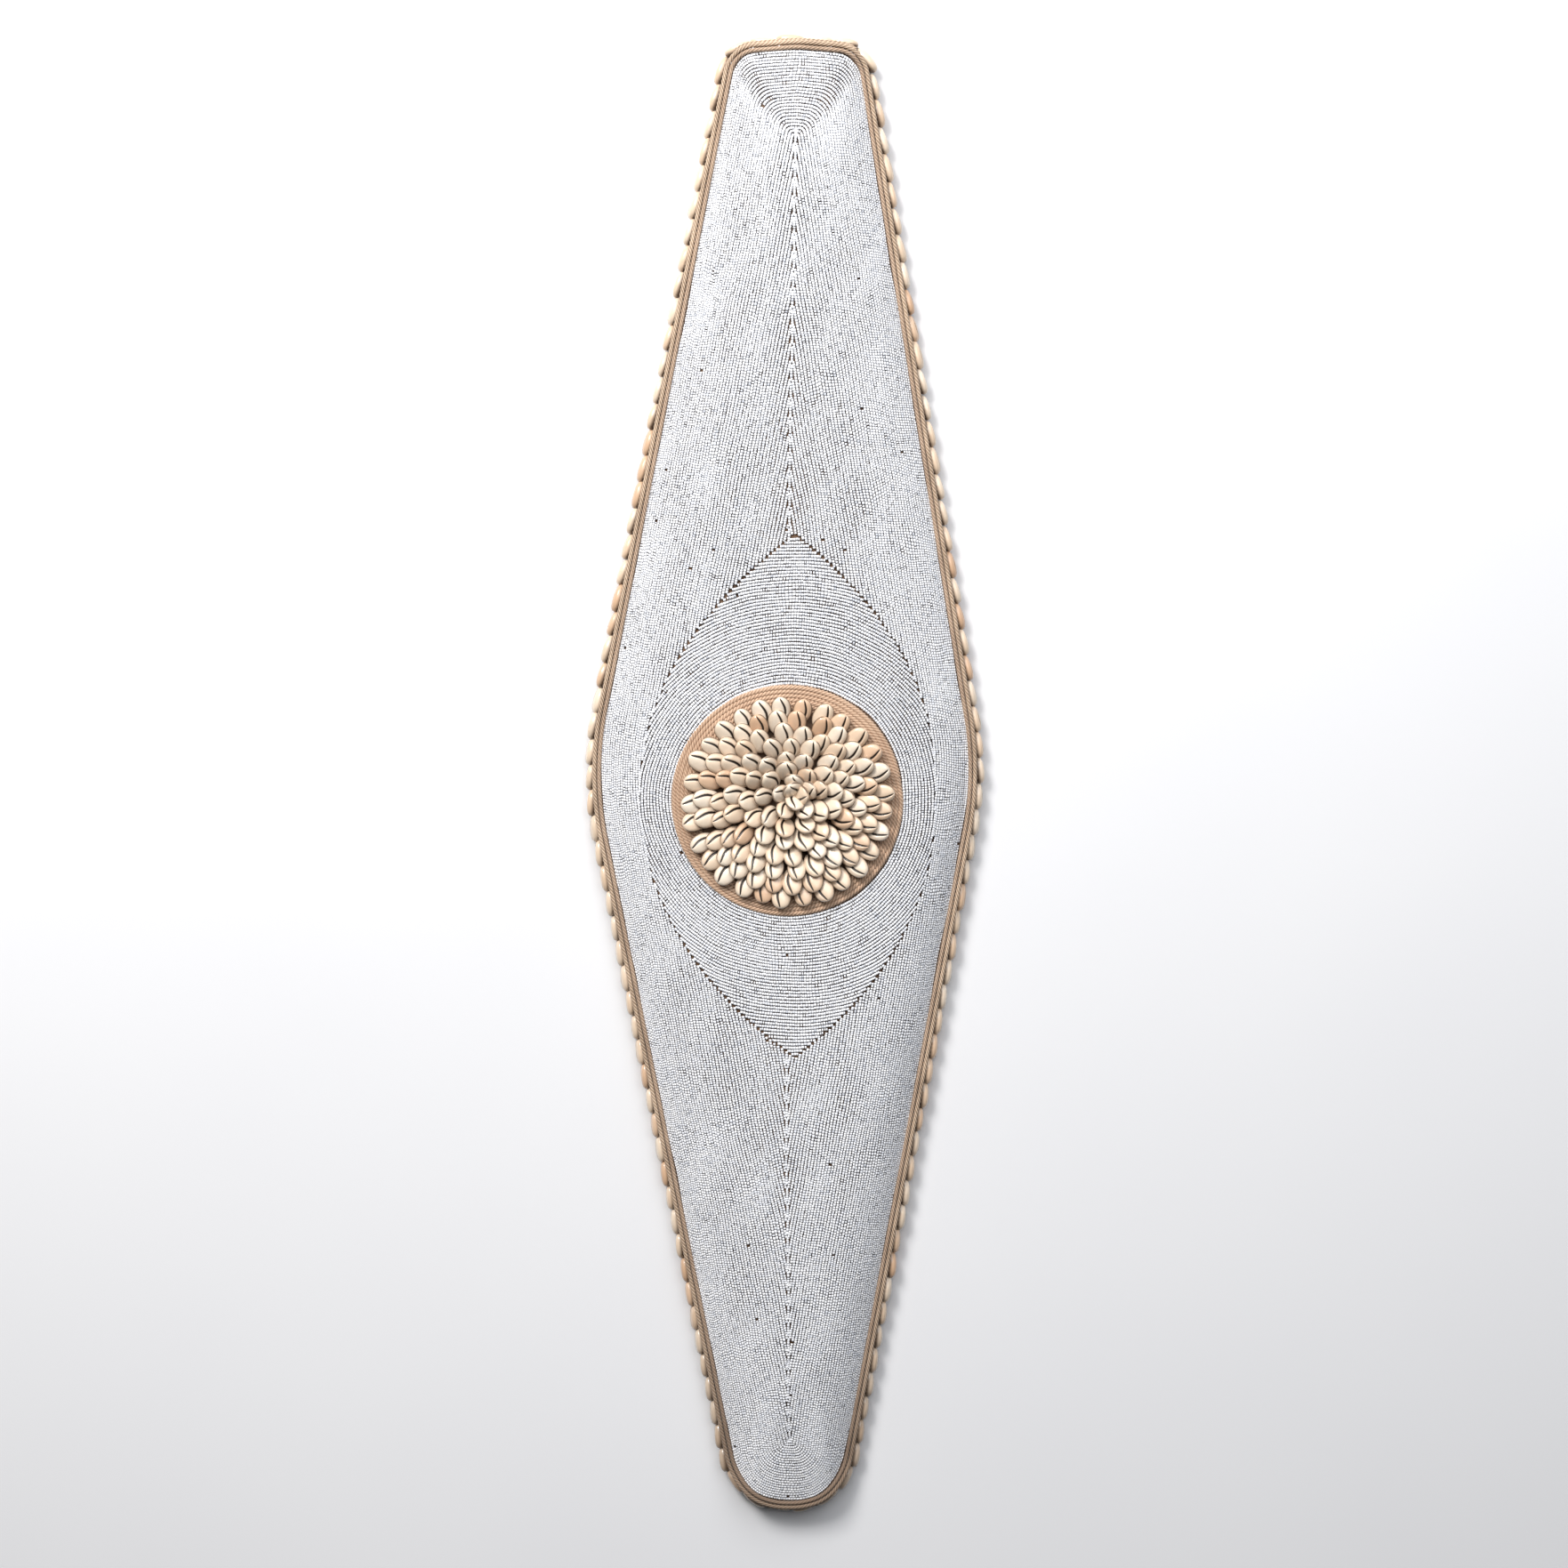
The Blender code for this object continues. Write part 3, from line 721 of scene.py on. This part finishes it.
def ring_stack(name, loops):
    """A closed surface through a stack of equal loops, with a flat face at each end."""
    rows, sides = loops.shape[:2]
    a, b, c, d = cells(rows, sides)
    walls = np.stack([a, b, d, c], -1)
    caps = np.stack([np.arange(sides)[::-1], (rows - 1) * sides + np.arange(sides)])
    return new_mesh(name, loops.reshape(-1, 3), [walls.reshape(-1, 4), caps])


coil = twisted_cord("coil_turns", coil_route(), False, PLAIN_LAY, COIL_RADIUS, COIL_LAY)
core = ring_stack("coil_core", coil_core())

# %% [markdown]
# ## A cowrie shell
#
# Every shell shows its slit side. On a real cowrie that side is flat, with two rolled lips and a toothed
# slit between them, a little to one side. Here a shell is a stack of rings from foot to tip. Each ring
# has five of its points tied to the slit, so the slit keeps its shape however coarse the rest is.

# %% One shell
SHELL_LENGTH = 0.0240
SHELL_WIDTH = 0.0152
SHELL_THICKNESS = 0.0102
SLIT_SPREAD = np.array([-0.21, -0.07, 0.0, 0.07, 0.21])
SLIT_DROP = np.array([-0.00035, 0.0003, 0.0021, 0.0003, -0.00035])
SLIT_MASK = np.array([0.0, 0.72, 1.0, 0.72, 0.0])
LIP_MASK = np.array([0.6, 1.0, 0.4, 1.0, 0.6])
LEFT_SPLITS = (0.35, 0.72)
RIGHT_SPLITS = (0.36, 0.68, 0.88)
SLIT_COLUMNS = slice(3, 8)
SLIT_START = 0.12
SLIT_OPENING = 0.25
SLIT_AT_ENDS = -0.05
SLIT_BULGE = -0.33
EDGE_SHARE = 0.97
UNDER_SHARES = np.array([0.78, 0.28, -0.28, -0.78])
BLUNTNESS = 3.0
WIDTH_POWER = 0.78
HEIGHT_POWER = 0.6
TIP_WIDENING = (1.03, 0.10)
POLES = (-0.5, 0.512)
UNDERSIDE_MARK = 0.70
TIP_MARK = 0.5


def cowrie(rings, thickness, belly_share):
    """Points, faces and marks of a shell: tip towards +X, slit side towards +Z."""
    q = np.linspace(0, math.pi, rings + 2)[1:-1]
    reach = -np.cos(q) / 2
    swell = np.sin(q) ** WIDTH_POWER
    half = SHELL_WIDTH / 2 * swell * (TIP_WIDENING[0] + TIP_WIDENING[1] * reach)
    slit = SLIT_AT_ENDS + SLIT_BULGE * np.cos(math.pi * reach)
    opening = np.clip((np.sin(q) - SLIT_START) / SLIT_OPENING, 0, 1)
    left_lip = slit + SLIT_SPREAD[0]
    right_lip = slit + SLIT_SPREAD[-1]
    shares = [-np.full(rings, EDGE_SHARE)]
    shares += [-EDGE_SHARE + (left_lip + EDGE_SHARE) * part for part in LEFT_SPLITS]
    shares += [slit + spread for spread in SLIT_SPREAD]
    shares += [right_lip + (EDGE_SHARE - right_lip) * part for part in RIGHT_SPLITS]
    shares.append(np.full(rings, EDGE_SHARE))
    shares = np.stack(shares, 1)
    crown = thickness * (1 - belly_share) * np.sin(q) ** HEIGHT_POWER
    top = (1 - np.abs(shares) ** BLUNTNESS) ** 0.5 * crown[:, None]
    belly = -(1 - np.abs(UNDER_SHARES) ** BLUNTNESS) ** 0.5 * (thickness * belly_share * swell)[:, None]
    across = np.hstack([shares, np.tile(UNDER_SHARES, (rings, 1))]) * half[:, None]
    columns = across.shape[1]

    def at_slit(values):
        """Five values for the points tied to the slit, and zero for the others."""
        whole = np.zeros((rings, columns))
        whole[:, SLIT_COLUMNS] = values * opening[:, None]
        return whole

    height = np.hstack([top, belly]) - at_slit(SLIT_DROP)
    lengthwise = np.tile(reach[:, None] * SHELL_LENGTH, (1, columns))
    points = np.stack([lengthwise, across, height], -1).reshape(-1, 3)
    points = np.vstack([points] + [(SHELL_LENGTH * pole, 0, 0) for pole in POLES])
    under_mark = np.full((rings, len(UNDER_SHARES)), UNDERSIDE_MARK)
    side_mark = np.hstack([np.abs(shares) ** BLUNTNESS, under_mark])
    a, b, c, d = cells(rings, columns)
    walls = np.stack([a, c, d, b], -1)
    foot = np.stack([np.full(columns, len(points) - 2), a[0], b[0]], -1)
    tip = np.stack([np.full(columns, len(points) - 1), d[-1], c[-1]], -1)
    marks = {
        "slit": np.append(at_slit(SLIT_MASK), (0, 0)),
        "lip": np.append(at_slit(LIP_MASK), (0, 0)),
        "side": np.append(side_mark, (UNDERSIDE_MARK, TIP_MARK)),
        "along": points[:, 0],
    }
    return points, [walls.reshape(-1, 4), np.vstack([foot, tip])], marks


def shell_run(name, form, places, axes, tones):
    """Many copies of a shell in one mesh; axes holds three unit vectors for each copy."""
    points, faces, marks = form
    placed = np.einsum("pk,nkj->npj", points, axes) + places[:, None]
    shift = np.arange(len(places))[:, None, None] * len(points)
    blocks = [(block[None] + shift).reshape(-1, block.shape[1]) for block in faces]
    spread = {key: np.tile(values, len(places)) for key, values in marks.items()}
    spread["tone"] = np.repeat(tones, len(points))
    return new_mesh(name, placed.reshape(-1, 3), blocks, spread)


def turned(axes, plane, angles):
    """Turns each copy's axes in the plane of two of them, from the first towards the second."""
    first, second = plane
    result = axes.copy()
    cosine = np.cos(angles)[:, None]
    sine = np.sin(angles)[:, None]
    result[:, first] = axes[:, first] * cosine + axes[:, second] * sine
    result[:, second] = axes[:, second] * cosine - axes[:, first] * sine
    return result


YAW = (0, 1)
PITCH = (0, 2)
ROLL = (1, 2)


def set_loosely(axes, turns, sizes, limits, rng):
    """Axes turned a little at random in one plane after another, and scaled at random."""
    for plane, spread in turns:
        axes = turned(axes, plane, rng.normal(0, spread, len(axes)))
    return axes * rng.normal(*sizes, len(axes)).clip(*limits)[:, None, None]


# %% [markdown]
# ## The boss of shells
#
# Shells stand in eight rings like the scales of an artichoke. The outer ring lies almost flat, and each
# ring further in stands steeper and covers the feet of the one outside it. The backs of shells that are
# sewn down are cut away, so these are thinner than whole ones. The middle of the whorl stands a little
# up and to the right of the disc's.

# %% Eight rings of shells
RING_COUNTS = (29, 26, 22, 17, 13, 9, 5, 3)
OUTER_RING_TIP = 0.093
RING_STEP = 0.012
OUTER_RING_TILT = math.radians(18)
TILT_STEP = math.radians(6.0)
RING_RISES = (0.0, 0.0012, 0.0020)
DISC_RISE = 0.0012
BOSS_SHELL_THICKNESS = 0.0080
BOSS_SHELL_RINGS = 11
BOSS_BELLY = 0.45
BOSS_TILT_SPREAD = math.radians(2)
BOSS_PLACE_SPREAD = 0.05
BOSS_TURNS = ((YAW, math.radians(4)), (ROLL, math.radians(6)))
BOSS_SIZES = (1.0, 0.045)
BOSS_SIZE_LIMITS = (0.9, 1.08)
BOSS_TIP_SPREAD = 0.0008
LAST_OUTER_RING = 3
WHORL_DRIFT = np.array((0.0075, 0.0075))
BOSS_WIDEN = (1.20, 1.30)
INNER_SHRINK = 0.008
INNERMOST_TIP = 0.0120
STAGGER = 0.30
BOSS_SEED = 7

boss_form = cowrie(BOSS_SHELL_RINGS, BOSS_SHELL_THICKNESS, BOSS_BELLY)


def staggered(angles, outside):
    """Each angle, moved part of the way to the nearest gap between the shells outside it."""
    gaps = (np.sort(outside) + np.roll(np.sort(outside), -1)) / 2
    gaps[-1] += math.pi
    away = (gaps[None] - angles[:, None] + math.pi) % (2 * math.pi) - math.pi
    nearest = away[np.arange(len(angles)), np.abs(away).argmin(axis=1)]
    return angles + STAGGER * nearest


def boss_ring(index, rng, outside):
    count = RING_COUNTS[index]
    tilt = OUTER_RING_TILT + index * TILT_STEP + rng.normal(0, BOSS_TILT_SPREAD, count)
    places = np.arange(count) + rng.uniform(0, 1) + rng.normal(0, BOSS_PLACE_SPREAD, count)
    angles = 2 * math.pi * places / count % (2 * math.pi)
    if outside is not None:
        angles = staggered(angles, outside)
    spoke = np.column_stack([np.cos(angles), np.sin(angles), np.zeros(count)])
    upright = np.tile((0.0, 0.0, 1.0), (count, 1))
    axes = turned(np.stack([spoke, np.cross(upright, spoke), upright], 1), PITCH, tilt)
    axes = set_loosely(axes, BOSS_TURNS, BOSS_SIZES, BOSS_SIZE_LIMITS, rng) * (1 - INNER_SHRINK * index)
    axes[:, 1] *= BOSS_WIDEN[index > LAST_OUTER_RING]
    tip = max(OUTER_RING_TIP - index * RING_STEP, INNERMOST_TIP)
    middle = tip + rng.normal(0, BOSS_TIP_SPREAD, count) - SHELL_LENGTH / 2 * np.cos(tilt)
    drift = WHORL_DRIFT * (index / (len(RING_COUNTS) - 1)) ** 2
    x, y = (BOSS + drift + middle[:, None] * spoke[:, :2]).T
    rise = DISC_RISE + RING_RISES[min(index, len(RING_RISES) - 1)] + SHELL_LENGTH / 2 * np.sin(tilt)
    places = np.stack([x, y, WALL_HEIGHT + BEAD_EDGE_RISE + dome(x, y) + rise], -1)
    piece = shell_run(f"boss_shells_ring_{index + 1}", boss_form, places, axes, rng.random(count))
    return piece, angles


boss_rng = np.random.default_rng(BOSS_SEED)
boss_pieces = []
outside = None
for index in range(len(RING_COUNTS)):
    piece, outside = boss_ring(index, boss_rng, outside)
    boss_pieces.append(piece)

# %% [markdown]
# ## The shells round the edge
#
# Whole shells stand on their sides along the upright wall, tip to tail, with the slit outwards. Each
# one's upper end is tucked behind the one above, and its lower end stands out a few degrees. The side
# towards the wall is painted dark brown as painted shade, and the shells' other side marks are scaled
# down, so their margins take less painted shade.

# %% Six runs of edge shells
EDGE_SHELL_PITCH = 0.0232
EDGE_SHELL_HEIGHT = 0.0088
EDGE_SHELL_FOLLOW = 0.55
EDGE_SHELL_OFFSET = SHELL_THICKNESS / 2 - CORD_SEAT_GAP + CORD_GAP
EDGE_SHELL_OUT = 0.0008
EDGE_SHELL_UP = 0.0012
EDGE_SHELL_SHADE = 0.58
EDGE_SHELL_RINGS = 10
EDGE_BELLY = 0.55
EDGE_HEIGHT_SPREAD = 0.0003
EDGE_TURNS = ((ROLL, math.radians(7)), (YAW, math.radians(3)))
LOWER_END_SPREAD = math.radians(1.5)
EDGE_SIZES = (1.0, 0.04)
EDGE_SIZE_LIMITS = (0.92, 1.06)
LOWER_END_OUT = math.radians(7)
EDGE_SEED = 19
RUN_NAMES = ("bottom_right", "right", "top_right", "top_left", "left", "bottom_left")

edge_form = cowrie(EDGE_SHELL_RINGS, SHELL_THICKNESS, EDGE_BELLY)
# Painted shade: the side towards the wall gets the darkest mark, the rest of the side mark is scaled
# down.
side = edge_form[2]["side"]
edge_form[2]["side"] = np.where(side == UNDERSIDE_MARK, 1.0, side * EDGE_SHELL_SHADE)


def edge_run(name, distances, line, lengths, rng):
    count = len(distances)
    spot = along_line(line, lengths, distances)
    way = unit(along_line(edge_ways(line)[0], lengths, distances))
    facing = np.column_stack([way[:, 1], -way[:, 0], np.zeros(count)])
    inside = spot - facing[:, :2] * (EDGE_SHELL_OFFSET + BEAD_EDGE_INSET)
    lift = np.maximum(dome(inside[:, 0], inside[:, 1]), 0)
    downwards = np.where(way[:, 1] > 0, -1.0, 1.0)[:, None]
    lengthwise = np.column_stack([way, np.zeros(count)]) * downwards
    axes = np.stack([lengthwise, np.cross(facing, lengthwise), facing], 1)
    axes = turned(axes, PITCH, LOWER_END_OUT + rng.normal(0, LOWER_END_SPREAD, count))
    axes = set_loosely(axes, EDGE_TURNS, EDGE_SIZES, EDGE_SIZE_LIMITS, rng)
    height = EDGE_SHELL_HEIGHT + EDGE_SHELL_UP + EDGE_SHELL_FOLLOW * lift
    places = np.column_stack([spot, height + rng.normal(0, EDGE_HEIGHT_SPREAD, count)])
    return shell_run(f"edge_shells_{name}", edge_form, places, axes, rng.random(count))


edge_rng = np.random.default_rng(EDGE_SEED)
shell_line = outline(EDGE_SHELL_OFFSET + EDGE_SHELL_OUT)
shell_lengths = walked_along(shell_line)
shell_total = round(shell_lengths[-1] / EDGE_SHELL_PITCH)
shell_marks = (np.arange(shell_total) + 0.5) / shell_total * shell_lengths[-1]
run_ends = [round(shell_total * k / len(RUN_NAMES)) for k in range(len(RUN_NAMES) + 1)]
edge_pieces = {}
for name, first, last in zip(RUN_NAMES, run_ends, run_ends[1:]):
    piece = edge_run(name, shell_marks[first:last], shell_line, shell_lengths, edge_rng)
    edge_pieces[f"edge_cowries_{name}"] = piece
print("edge shells:", shell_total, "boss shells:", sum(RING_COUNTS))

# %% [markdown]
# ## Writing materials as arithmetic
#
# A material is a small graph of nodes. Drawn by hand it soon hides its own idea, so here a socket is
# wrapped in a class that understands plus, minus and times. One method makes every other node.


# %% Sockets that can be added and multiplied
class Value:
    """A socket of a finish, ready for arithmetic on numbers."""

    def __init__(self, finish, socket):
        self.finish = finish
        self.socket = socket

    def maths(self, operation, *terms):
        return self.finish.node("Math", {"operation": operation}, dict(enumerate(terms)))

    def __add__(self, other):
        return self.maths("ADD", self, other)

    def __radd__(self, other):
        return self.maths("ADD", other, self)

    def __sub__(self, other):
        return self.maths("SUBTRACT", self, other)

    def __mul__(self, other):
        return self.maths("MULTIPLY", self, other)

    def __rmul__(self, other):
        return self.maths("MULTIPLY", other, self)

    def smooth_between(self, low, high):
        """0 below low, 1 above high, with a soft step between."""
        settings = {"interpolation_type": "SMOOTHSTEP"}
        return self.finish.node("MapRange", settings, {"Value": self, "From Min": low, "From Max": high})


NARROW_END_SHADE_REACH = (-0.40, -0.66)


class Finish:
    """One procedural material, with its constants on the shader's own sockets."""

    def __init__(self, name, **constants):
        self.material = bpy.data.materials.new(name)
        self.material.use_nodes = True
        self.tree = self.material.node_tree
        self.shader = self.tree.nodes["Principled BSDF"]
        for key, value in constants.items():
            self.shader.inputs[key.replace("_", " ")].default_value = value

    def node(self, kind, settings=None, sockets=None, output=0):
        """A node of a kind: its settings first, then its sockets' values or links."""
        node = self.tree.nodes.new("ShaderNode" + kind)
        for key, value in (settings or {}).items():
            if key == "stops":
                self.set_stops(node.color_ramp, value)
            else:
                setattr(node, key, value)
        for key, value in (sockets or {}).items():
            self.join(node.inputs[key], value)
        return Value(self, node.outputs[output])

    def set_stops(self, ramp, stops):
        while len(ramp.elements) < len(stops):
            ramp.elements.new(1.0)
        for element, (place, colour) in zip(ramp.elements, stops):
            element.position = place
            element.color = (*colour, 1)

    def join(self, socket, value):
        if isinstance(value, Value):
            self.tree.links.new(value.socket, socket)
        elif isinstance(value, tuple) and len(value) == 3 and socket.type == "RGBA":
            socket.default_value = (*value, 1)
        else:
            socket.default_value = value

    def mark(self, name):
        return self.node("Attribute", {"attribute_name": name}, output="Fac")

    def place(self):
        return self.node("TexCoord", output="Object")

    def narrow_end_shade(self):
        """How close a point lies to the shield's narrow end, which the finishes darken as painted shade.
        """
        along = self.node("SeparateXYZ", None, {0: self.place()}, output="Y")
        return along.smooth_between(*NARROW_END_SHADE_REACH)

    def noise(self, place, scale, detail=2.0):
        return self.node("TexNoise", None, {"Vector": place, "Scale": scale, "Detail": detail})

    def ramp(self, factor, stops):
        return self.node("ValToRGB", {"stops": stops}, {0: factor})

    def mix(self, factor, first, second):
        return self.node("Mix", {"data_type": "RGBA"}, {0: factor, 6: first, 7: second}, output=2)

    def paint(self, colour, roughness=None, bump=None, strength=0.3, distance=0.001):
        self.join(self.shader.inputs["Base Color"], colour)
        if roughness is not None:
            self.join(self.shader.inputs["Roughness"], roughness)
        if bump is not None:
            sockets = {"Height": bump, "Strength": strength, "Distance": distance}
            self.join(self.shader.inputs["Normal"], self.node("Bump", None, sockets))
        return self.material


print("finishes can now be written as sums")

# %% [markdown]
# ## Glass beads
#
# Opaque white glass is bright and glossy, and no two beads match: some are blue-white, a few are grey.
# Each bead's random tone picks its place on a ramp. Low down between the beads the colour is darkened to
# a dark brown-grey as painted shade, which a mark for height on the bead brings in, and slow noise makes
# it uneven.


# %% White glass
def glass_finish():
    finish = Finish("white glass beads", Coat_Weight=0.25, Coat_Roughness=0.08)
    tone = finish.mark("tone")
    height = finish.mark("height")
    place = finish.place()
    glass = finish.ramp(tone, [
        (0.0, (0.55, 0.57, 0.62)),
        (0.02, (0.78, 0.80, 0.85)),
        (0.25, (0.88, 0.89, 0.93)),
        (1.0, (0.96, 0.96, 0.97)),
    ])
    patches = finish.noise(place, 14.0, 3.0)
    # Painted shade: low on each bead, where beads meet, the colour goes to dark brown-grey.
    unshaded_share = height.smooth_between(0.10, 0.85) + (patches - 0.5) * 0.35
    colour = finish.mix(unshaded_share.smooth_between(0.1, 0.9), (0.19, 0.16, 0.155), glass)
    return finish.paint(colour, 0.20 + 0.20 * finish.noise(place, 60.0))


glass = glass_finish()
print("made", glass.name)

# %% [markdown]
# ## Twisted plant fibre
#
# The cord's colour comes from three things: the crest of a strand is painted pale and the hollow between
# strands painted dark, which is painted light and shade in the lay, and fine fibres run along. The fibres
# are noise, stretched along the cord by scaling its along and around marks differently.


# %% Tan cord
def cord_finish(name, crest_colour, middle_colour, hollow_colour):
    finish = Finish(name, Specular_IOR_Level=0.35, Sheen_Weight=0.15)
    crest = finish.mark("crest")
    along = finish.mark("along")
    around = finish.mark("around")
    place = finish.place()
    stretched = finish.node("CombineXYZ", None, {0: along * 300.0 + around * 500.0, 1: around * 2600.0})
    fibres = finish.noise(stretched, 1.0, 3.0)
    patches = finish.noise(place, 30.0, 3.0)
    # Painted light and shade: strand crests pale, hollows between strands dark.
    shade = crest * 0.75 + fibres * 0.45 + (patches - 0.5) * 0.5
    colour = finish.ramp(shade, [(0.18, hollow_colour), (0.60, middle_colour), (1.0, crest_colour)])
    # Painted shade: the cord darkens towards the shield's narrow end.
    colour = finish.mix(finish.narrow_end_shade() * 0.7, colour, (0.15, 0.10, 0.07))
    return finish.paint(colour, 0.70 + 0.2 * fibres, fibres, 0.5, 0.0004)


edge_cord_finish = cord_finish(
    "tan rope", (0.84, 0.66, 0.50), (0.47, 0.33, 0.22), (0.08, 0.05, 0.035))
# The inner cord gets darker colours than the outer cords.
inner_cord_finish = cord_finish(
    "darker rope", (0.66, 0.49, 0.36), (0.46, 0.32, 0.22), (0.16, 0.10, 0.07))
coil_finish = cord_finish(
    "coiled cord", (0.76, 0.54, 0.38), (0.58, 0.385, 0.26), (0.30, 0.18, 0.115))
print("made three cord finishes")


# %% The core of the coil
def mottled_finish(name, scale, first, second):
    """A matt finish of two colours, mixed by one noise."""
    finish = Finish(name, Roughness=0.9)
    return finish.paint(finish.mix(finish.noise(finish.place(), scale), first, second))


# Painted shade: the turns under the shells take the coiled cord's colour darkened to deep brown.
shaded_core_material = mottled_finish("shaded coil core", 350.0, (0.10, 0.06, 0.04), (0.26, 0.16, 0.10))
print("made", shaded_core_material.name)

# %% [markdown]
# ## Cowrie shell
#
# Cream enamel with a high gloss, warmer towards the sides, partly its own tone and partly painted shade.
# Margins and undersides are painted nearly black as painted shade, and so is the inside of the slit. The
# tone mark makes most shells cream and a few of them orange. The teeth are a ripple along the lips, so
# they show only where the lip mark is. Towards the shield's narrow end the shells are darkened as painted
# shade.

# %% Cream enamel
TOOTH_PITCH = 0.0013


def shell_finish():
    finish = Finish("cowrie enamel", Coat_Weight=0.35, Coat_Roughness=0.06)
    tone = finish.mark("tone")
    lip = finish.mark("lip")
    place = finish.place()
    enamel = finish.ramp(tone, [
        (0.0, (0.92, 0.80, 0.66)),
        (0.35, (0.88, 0.73, 0.57)),
        (0.75, (0.84, 0.65, 0.48)),
        (0.90, (0.78, 0.54, 0.37)),
        (1.0, (0.68, 0.43, 0.27)),
    ])
    clouds = finish.noise(place, 220.0, 3.0)
    side = finish.mark("side")
    # The side mark warms the enamel to tan towards the sides, partly the shell's own tone and partly
    # painted shade; then margins and undersides go near black as painted shade.
    tan_and_shaded_sides = finish.mix(side * 0.62 + (clouds - 0.5) * 0.5, enamel, (0.62, 0.42, 0.27))
    tan_and_shaded_sides = finish.mix(side.smooth_between(0.56, 0.93), tan_and_shaded_sides, (0.12, 0.075, 0.05))
    ripple = finish.mark("along") * (2 * math.pi / TOOTH_PITCH)
    teeth = ripple.maths("SINE", ripple)
    ribbed = finish.mix(lip * (0.5 + 0.5 * teeth) * 0.14, tan_and_shaded_sides, (0.52, 0.33, 0.20))
    # Painted shade: the shells darken towards the shield's narrow end.
    narrow_end_shaded = finish.mix(finish.narrow_end_shade() * 0.55, ribbed, (0.28, 0.19, 0.13))
    # Painted shade: the inside of the slit is near black.
    colour = finish.mix(finish.mark("slit").smooth_between(0.28, 0.75), narrow_end_shaded, (0.030, 0.020, 0.015))
    return finish.paint(colour, 0.22 + 0.18 * clouds, lip * teeth, 0.15, 0.0004)


shell_material = shell_finish()
print("made", shell_material.name)

# %% [markdown]
# ## Carved wood
#
# The body is one block of light hardwood, stained dark. Grain is noise stretched along the shield's
# length, and the flat back carries the ripple of an adze.


# %% Stained wood
def wood_finish():
    finish = Finish("stained wood", Specular_IOR_Level=0.4)
    place = finish.place()
    stretched = finish.node("Mapping", None, {"Vector": place, "Scale": (1.0, 0.06, 1.0)})
    grain = finish.noise(stretched, 420.0, 5.0)
    streaks = finish.noise(stretched, 60.0, 3.0)
    adze_place = finish.node("Mapping", None, {"Vector": place, "Scale": (1.0, 0.4, 1.0)})
    tool_marks = finish.noise(adze_place, 55.0, 1.0)
    shade = grain * 0.55 + streaks * 0.6
    colour = finish.ramp(shade, [
        (0.35, (0.060, 0.032, 0.018)),
        (0.60, (0.150, 0.085, 0.048)),
        (0.85, (0.260, 0.155, 0.090)),
    ])
    return finish.paint(colour, 0.55 + 0.3 * grain, grain * 0.25 + tool_marks, 0.6, 0.0015)


wood = wood_finish()
print("made", wood.name)

# %% [markdown]
# ## Putting it together
#
# Every piece rides on the one body, and the imported nodes that the pieces stand for are hidden. The
# wooden body keeps its packed form and takes the new finish.


# %% Dress and fasten the pieces
def fasten(piece, material, slot, *nodes):
    piece.data.materials.append(material)
    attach(piece, "root")
    if nodes:
        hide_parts(*nodes)


for piece in bead_pieces:
    fasten(piece, glass, "white_beads")
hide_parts("bead_field_long_strings")
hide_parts("bead_field_ring_strings")
for node, piece in cord_pieces.items():
    fasten(piece, inner_cord_finish if node == "edge_cord_inner" else edge_cord_finish, "cord", node)
fasten(coil, coil_finish, "cord", "centre_cord_disc")
fasten(core, shaded_core_material, "cord")
for index, piece in enumerate(boss_pieces):
    fasten(piece, shell_material, "cowrie", f"boss_cowries_ring_{index + 1}")
for node, piece in edge_pieces.items():
    fasten(piece, shell_material, "cowrie", node)
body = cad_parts["shield_body"]
for slot in body.material_slots:
    slot.material = wood

# %% [markdown]
# ## Floor and light
#
# A pale floor stands in for a plain wall, and a soft key light from the upper left throws the narrow
# shadow along the right edge. A wide fill keeps the shaded slopes pale. The photograph's whites are
# bright enough to clip, so the picture is shown without a film curve.

# %% Floor and lights
FLOOR_HALF = 6.0
FLOOR_CORNERS = ((-1, -1), (1, -1), (1, 1), (-1, 1))

floor_mesh = bpy.data.meshes.new("floor")
corners = [(FLOOR_HALF * x, FLOOR_HALF * y, 0) for x, y in FLOOR_CORNERS]
floor_mesh.from_pydata(corners, [], [(0, 1, 2, 3)])
floor_finish = mottled_finish("pale floor", 3.0, (0.84, 0.84, 0.86), (0.88, 0.88, 0.89))
floor_mesh.materials.append(floor_finish)
floor = added("floor", floor_mesh)


def soft_light(name, place, size, power, colour):
    lamp = bpy.data.lights.new(name, "AREA")
    lamp.size = size
    lamp.energy = power
    lamp.color = colour
    obj = added(name, lamp)
    obj.location = place
    obj.rotation_euler = (-obj.location).to_track_quat("-Z", "Y").to_euler()


soft_light("key", (-1.2, 1.9, 2.2), 1.0, 92, (1.0, 0.985, 0.965))
soft_light("fill", (0.5, 1.75, 2.5), 3.0, 89, (0.95, 0.97, 1.0))
bpy.context.scene.view_settings.view_transform = "Standard"
print("floor and two lights")
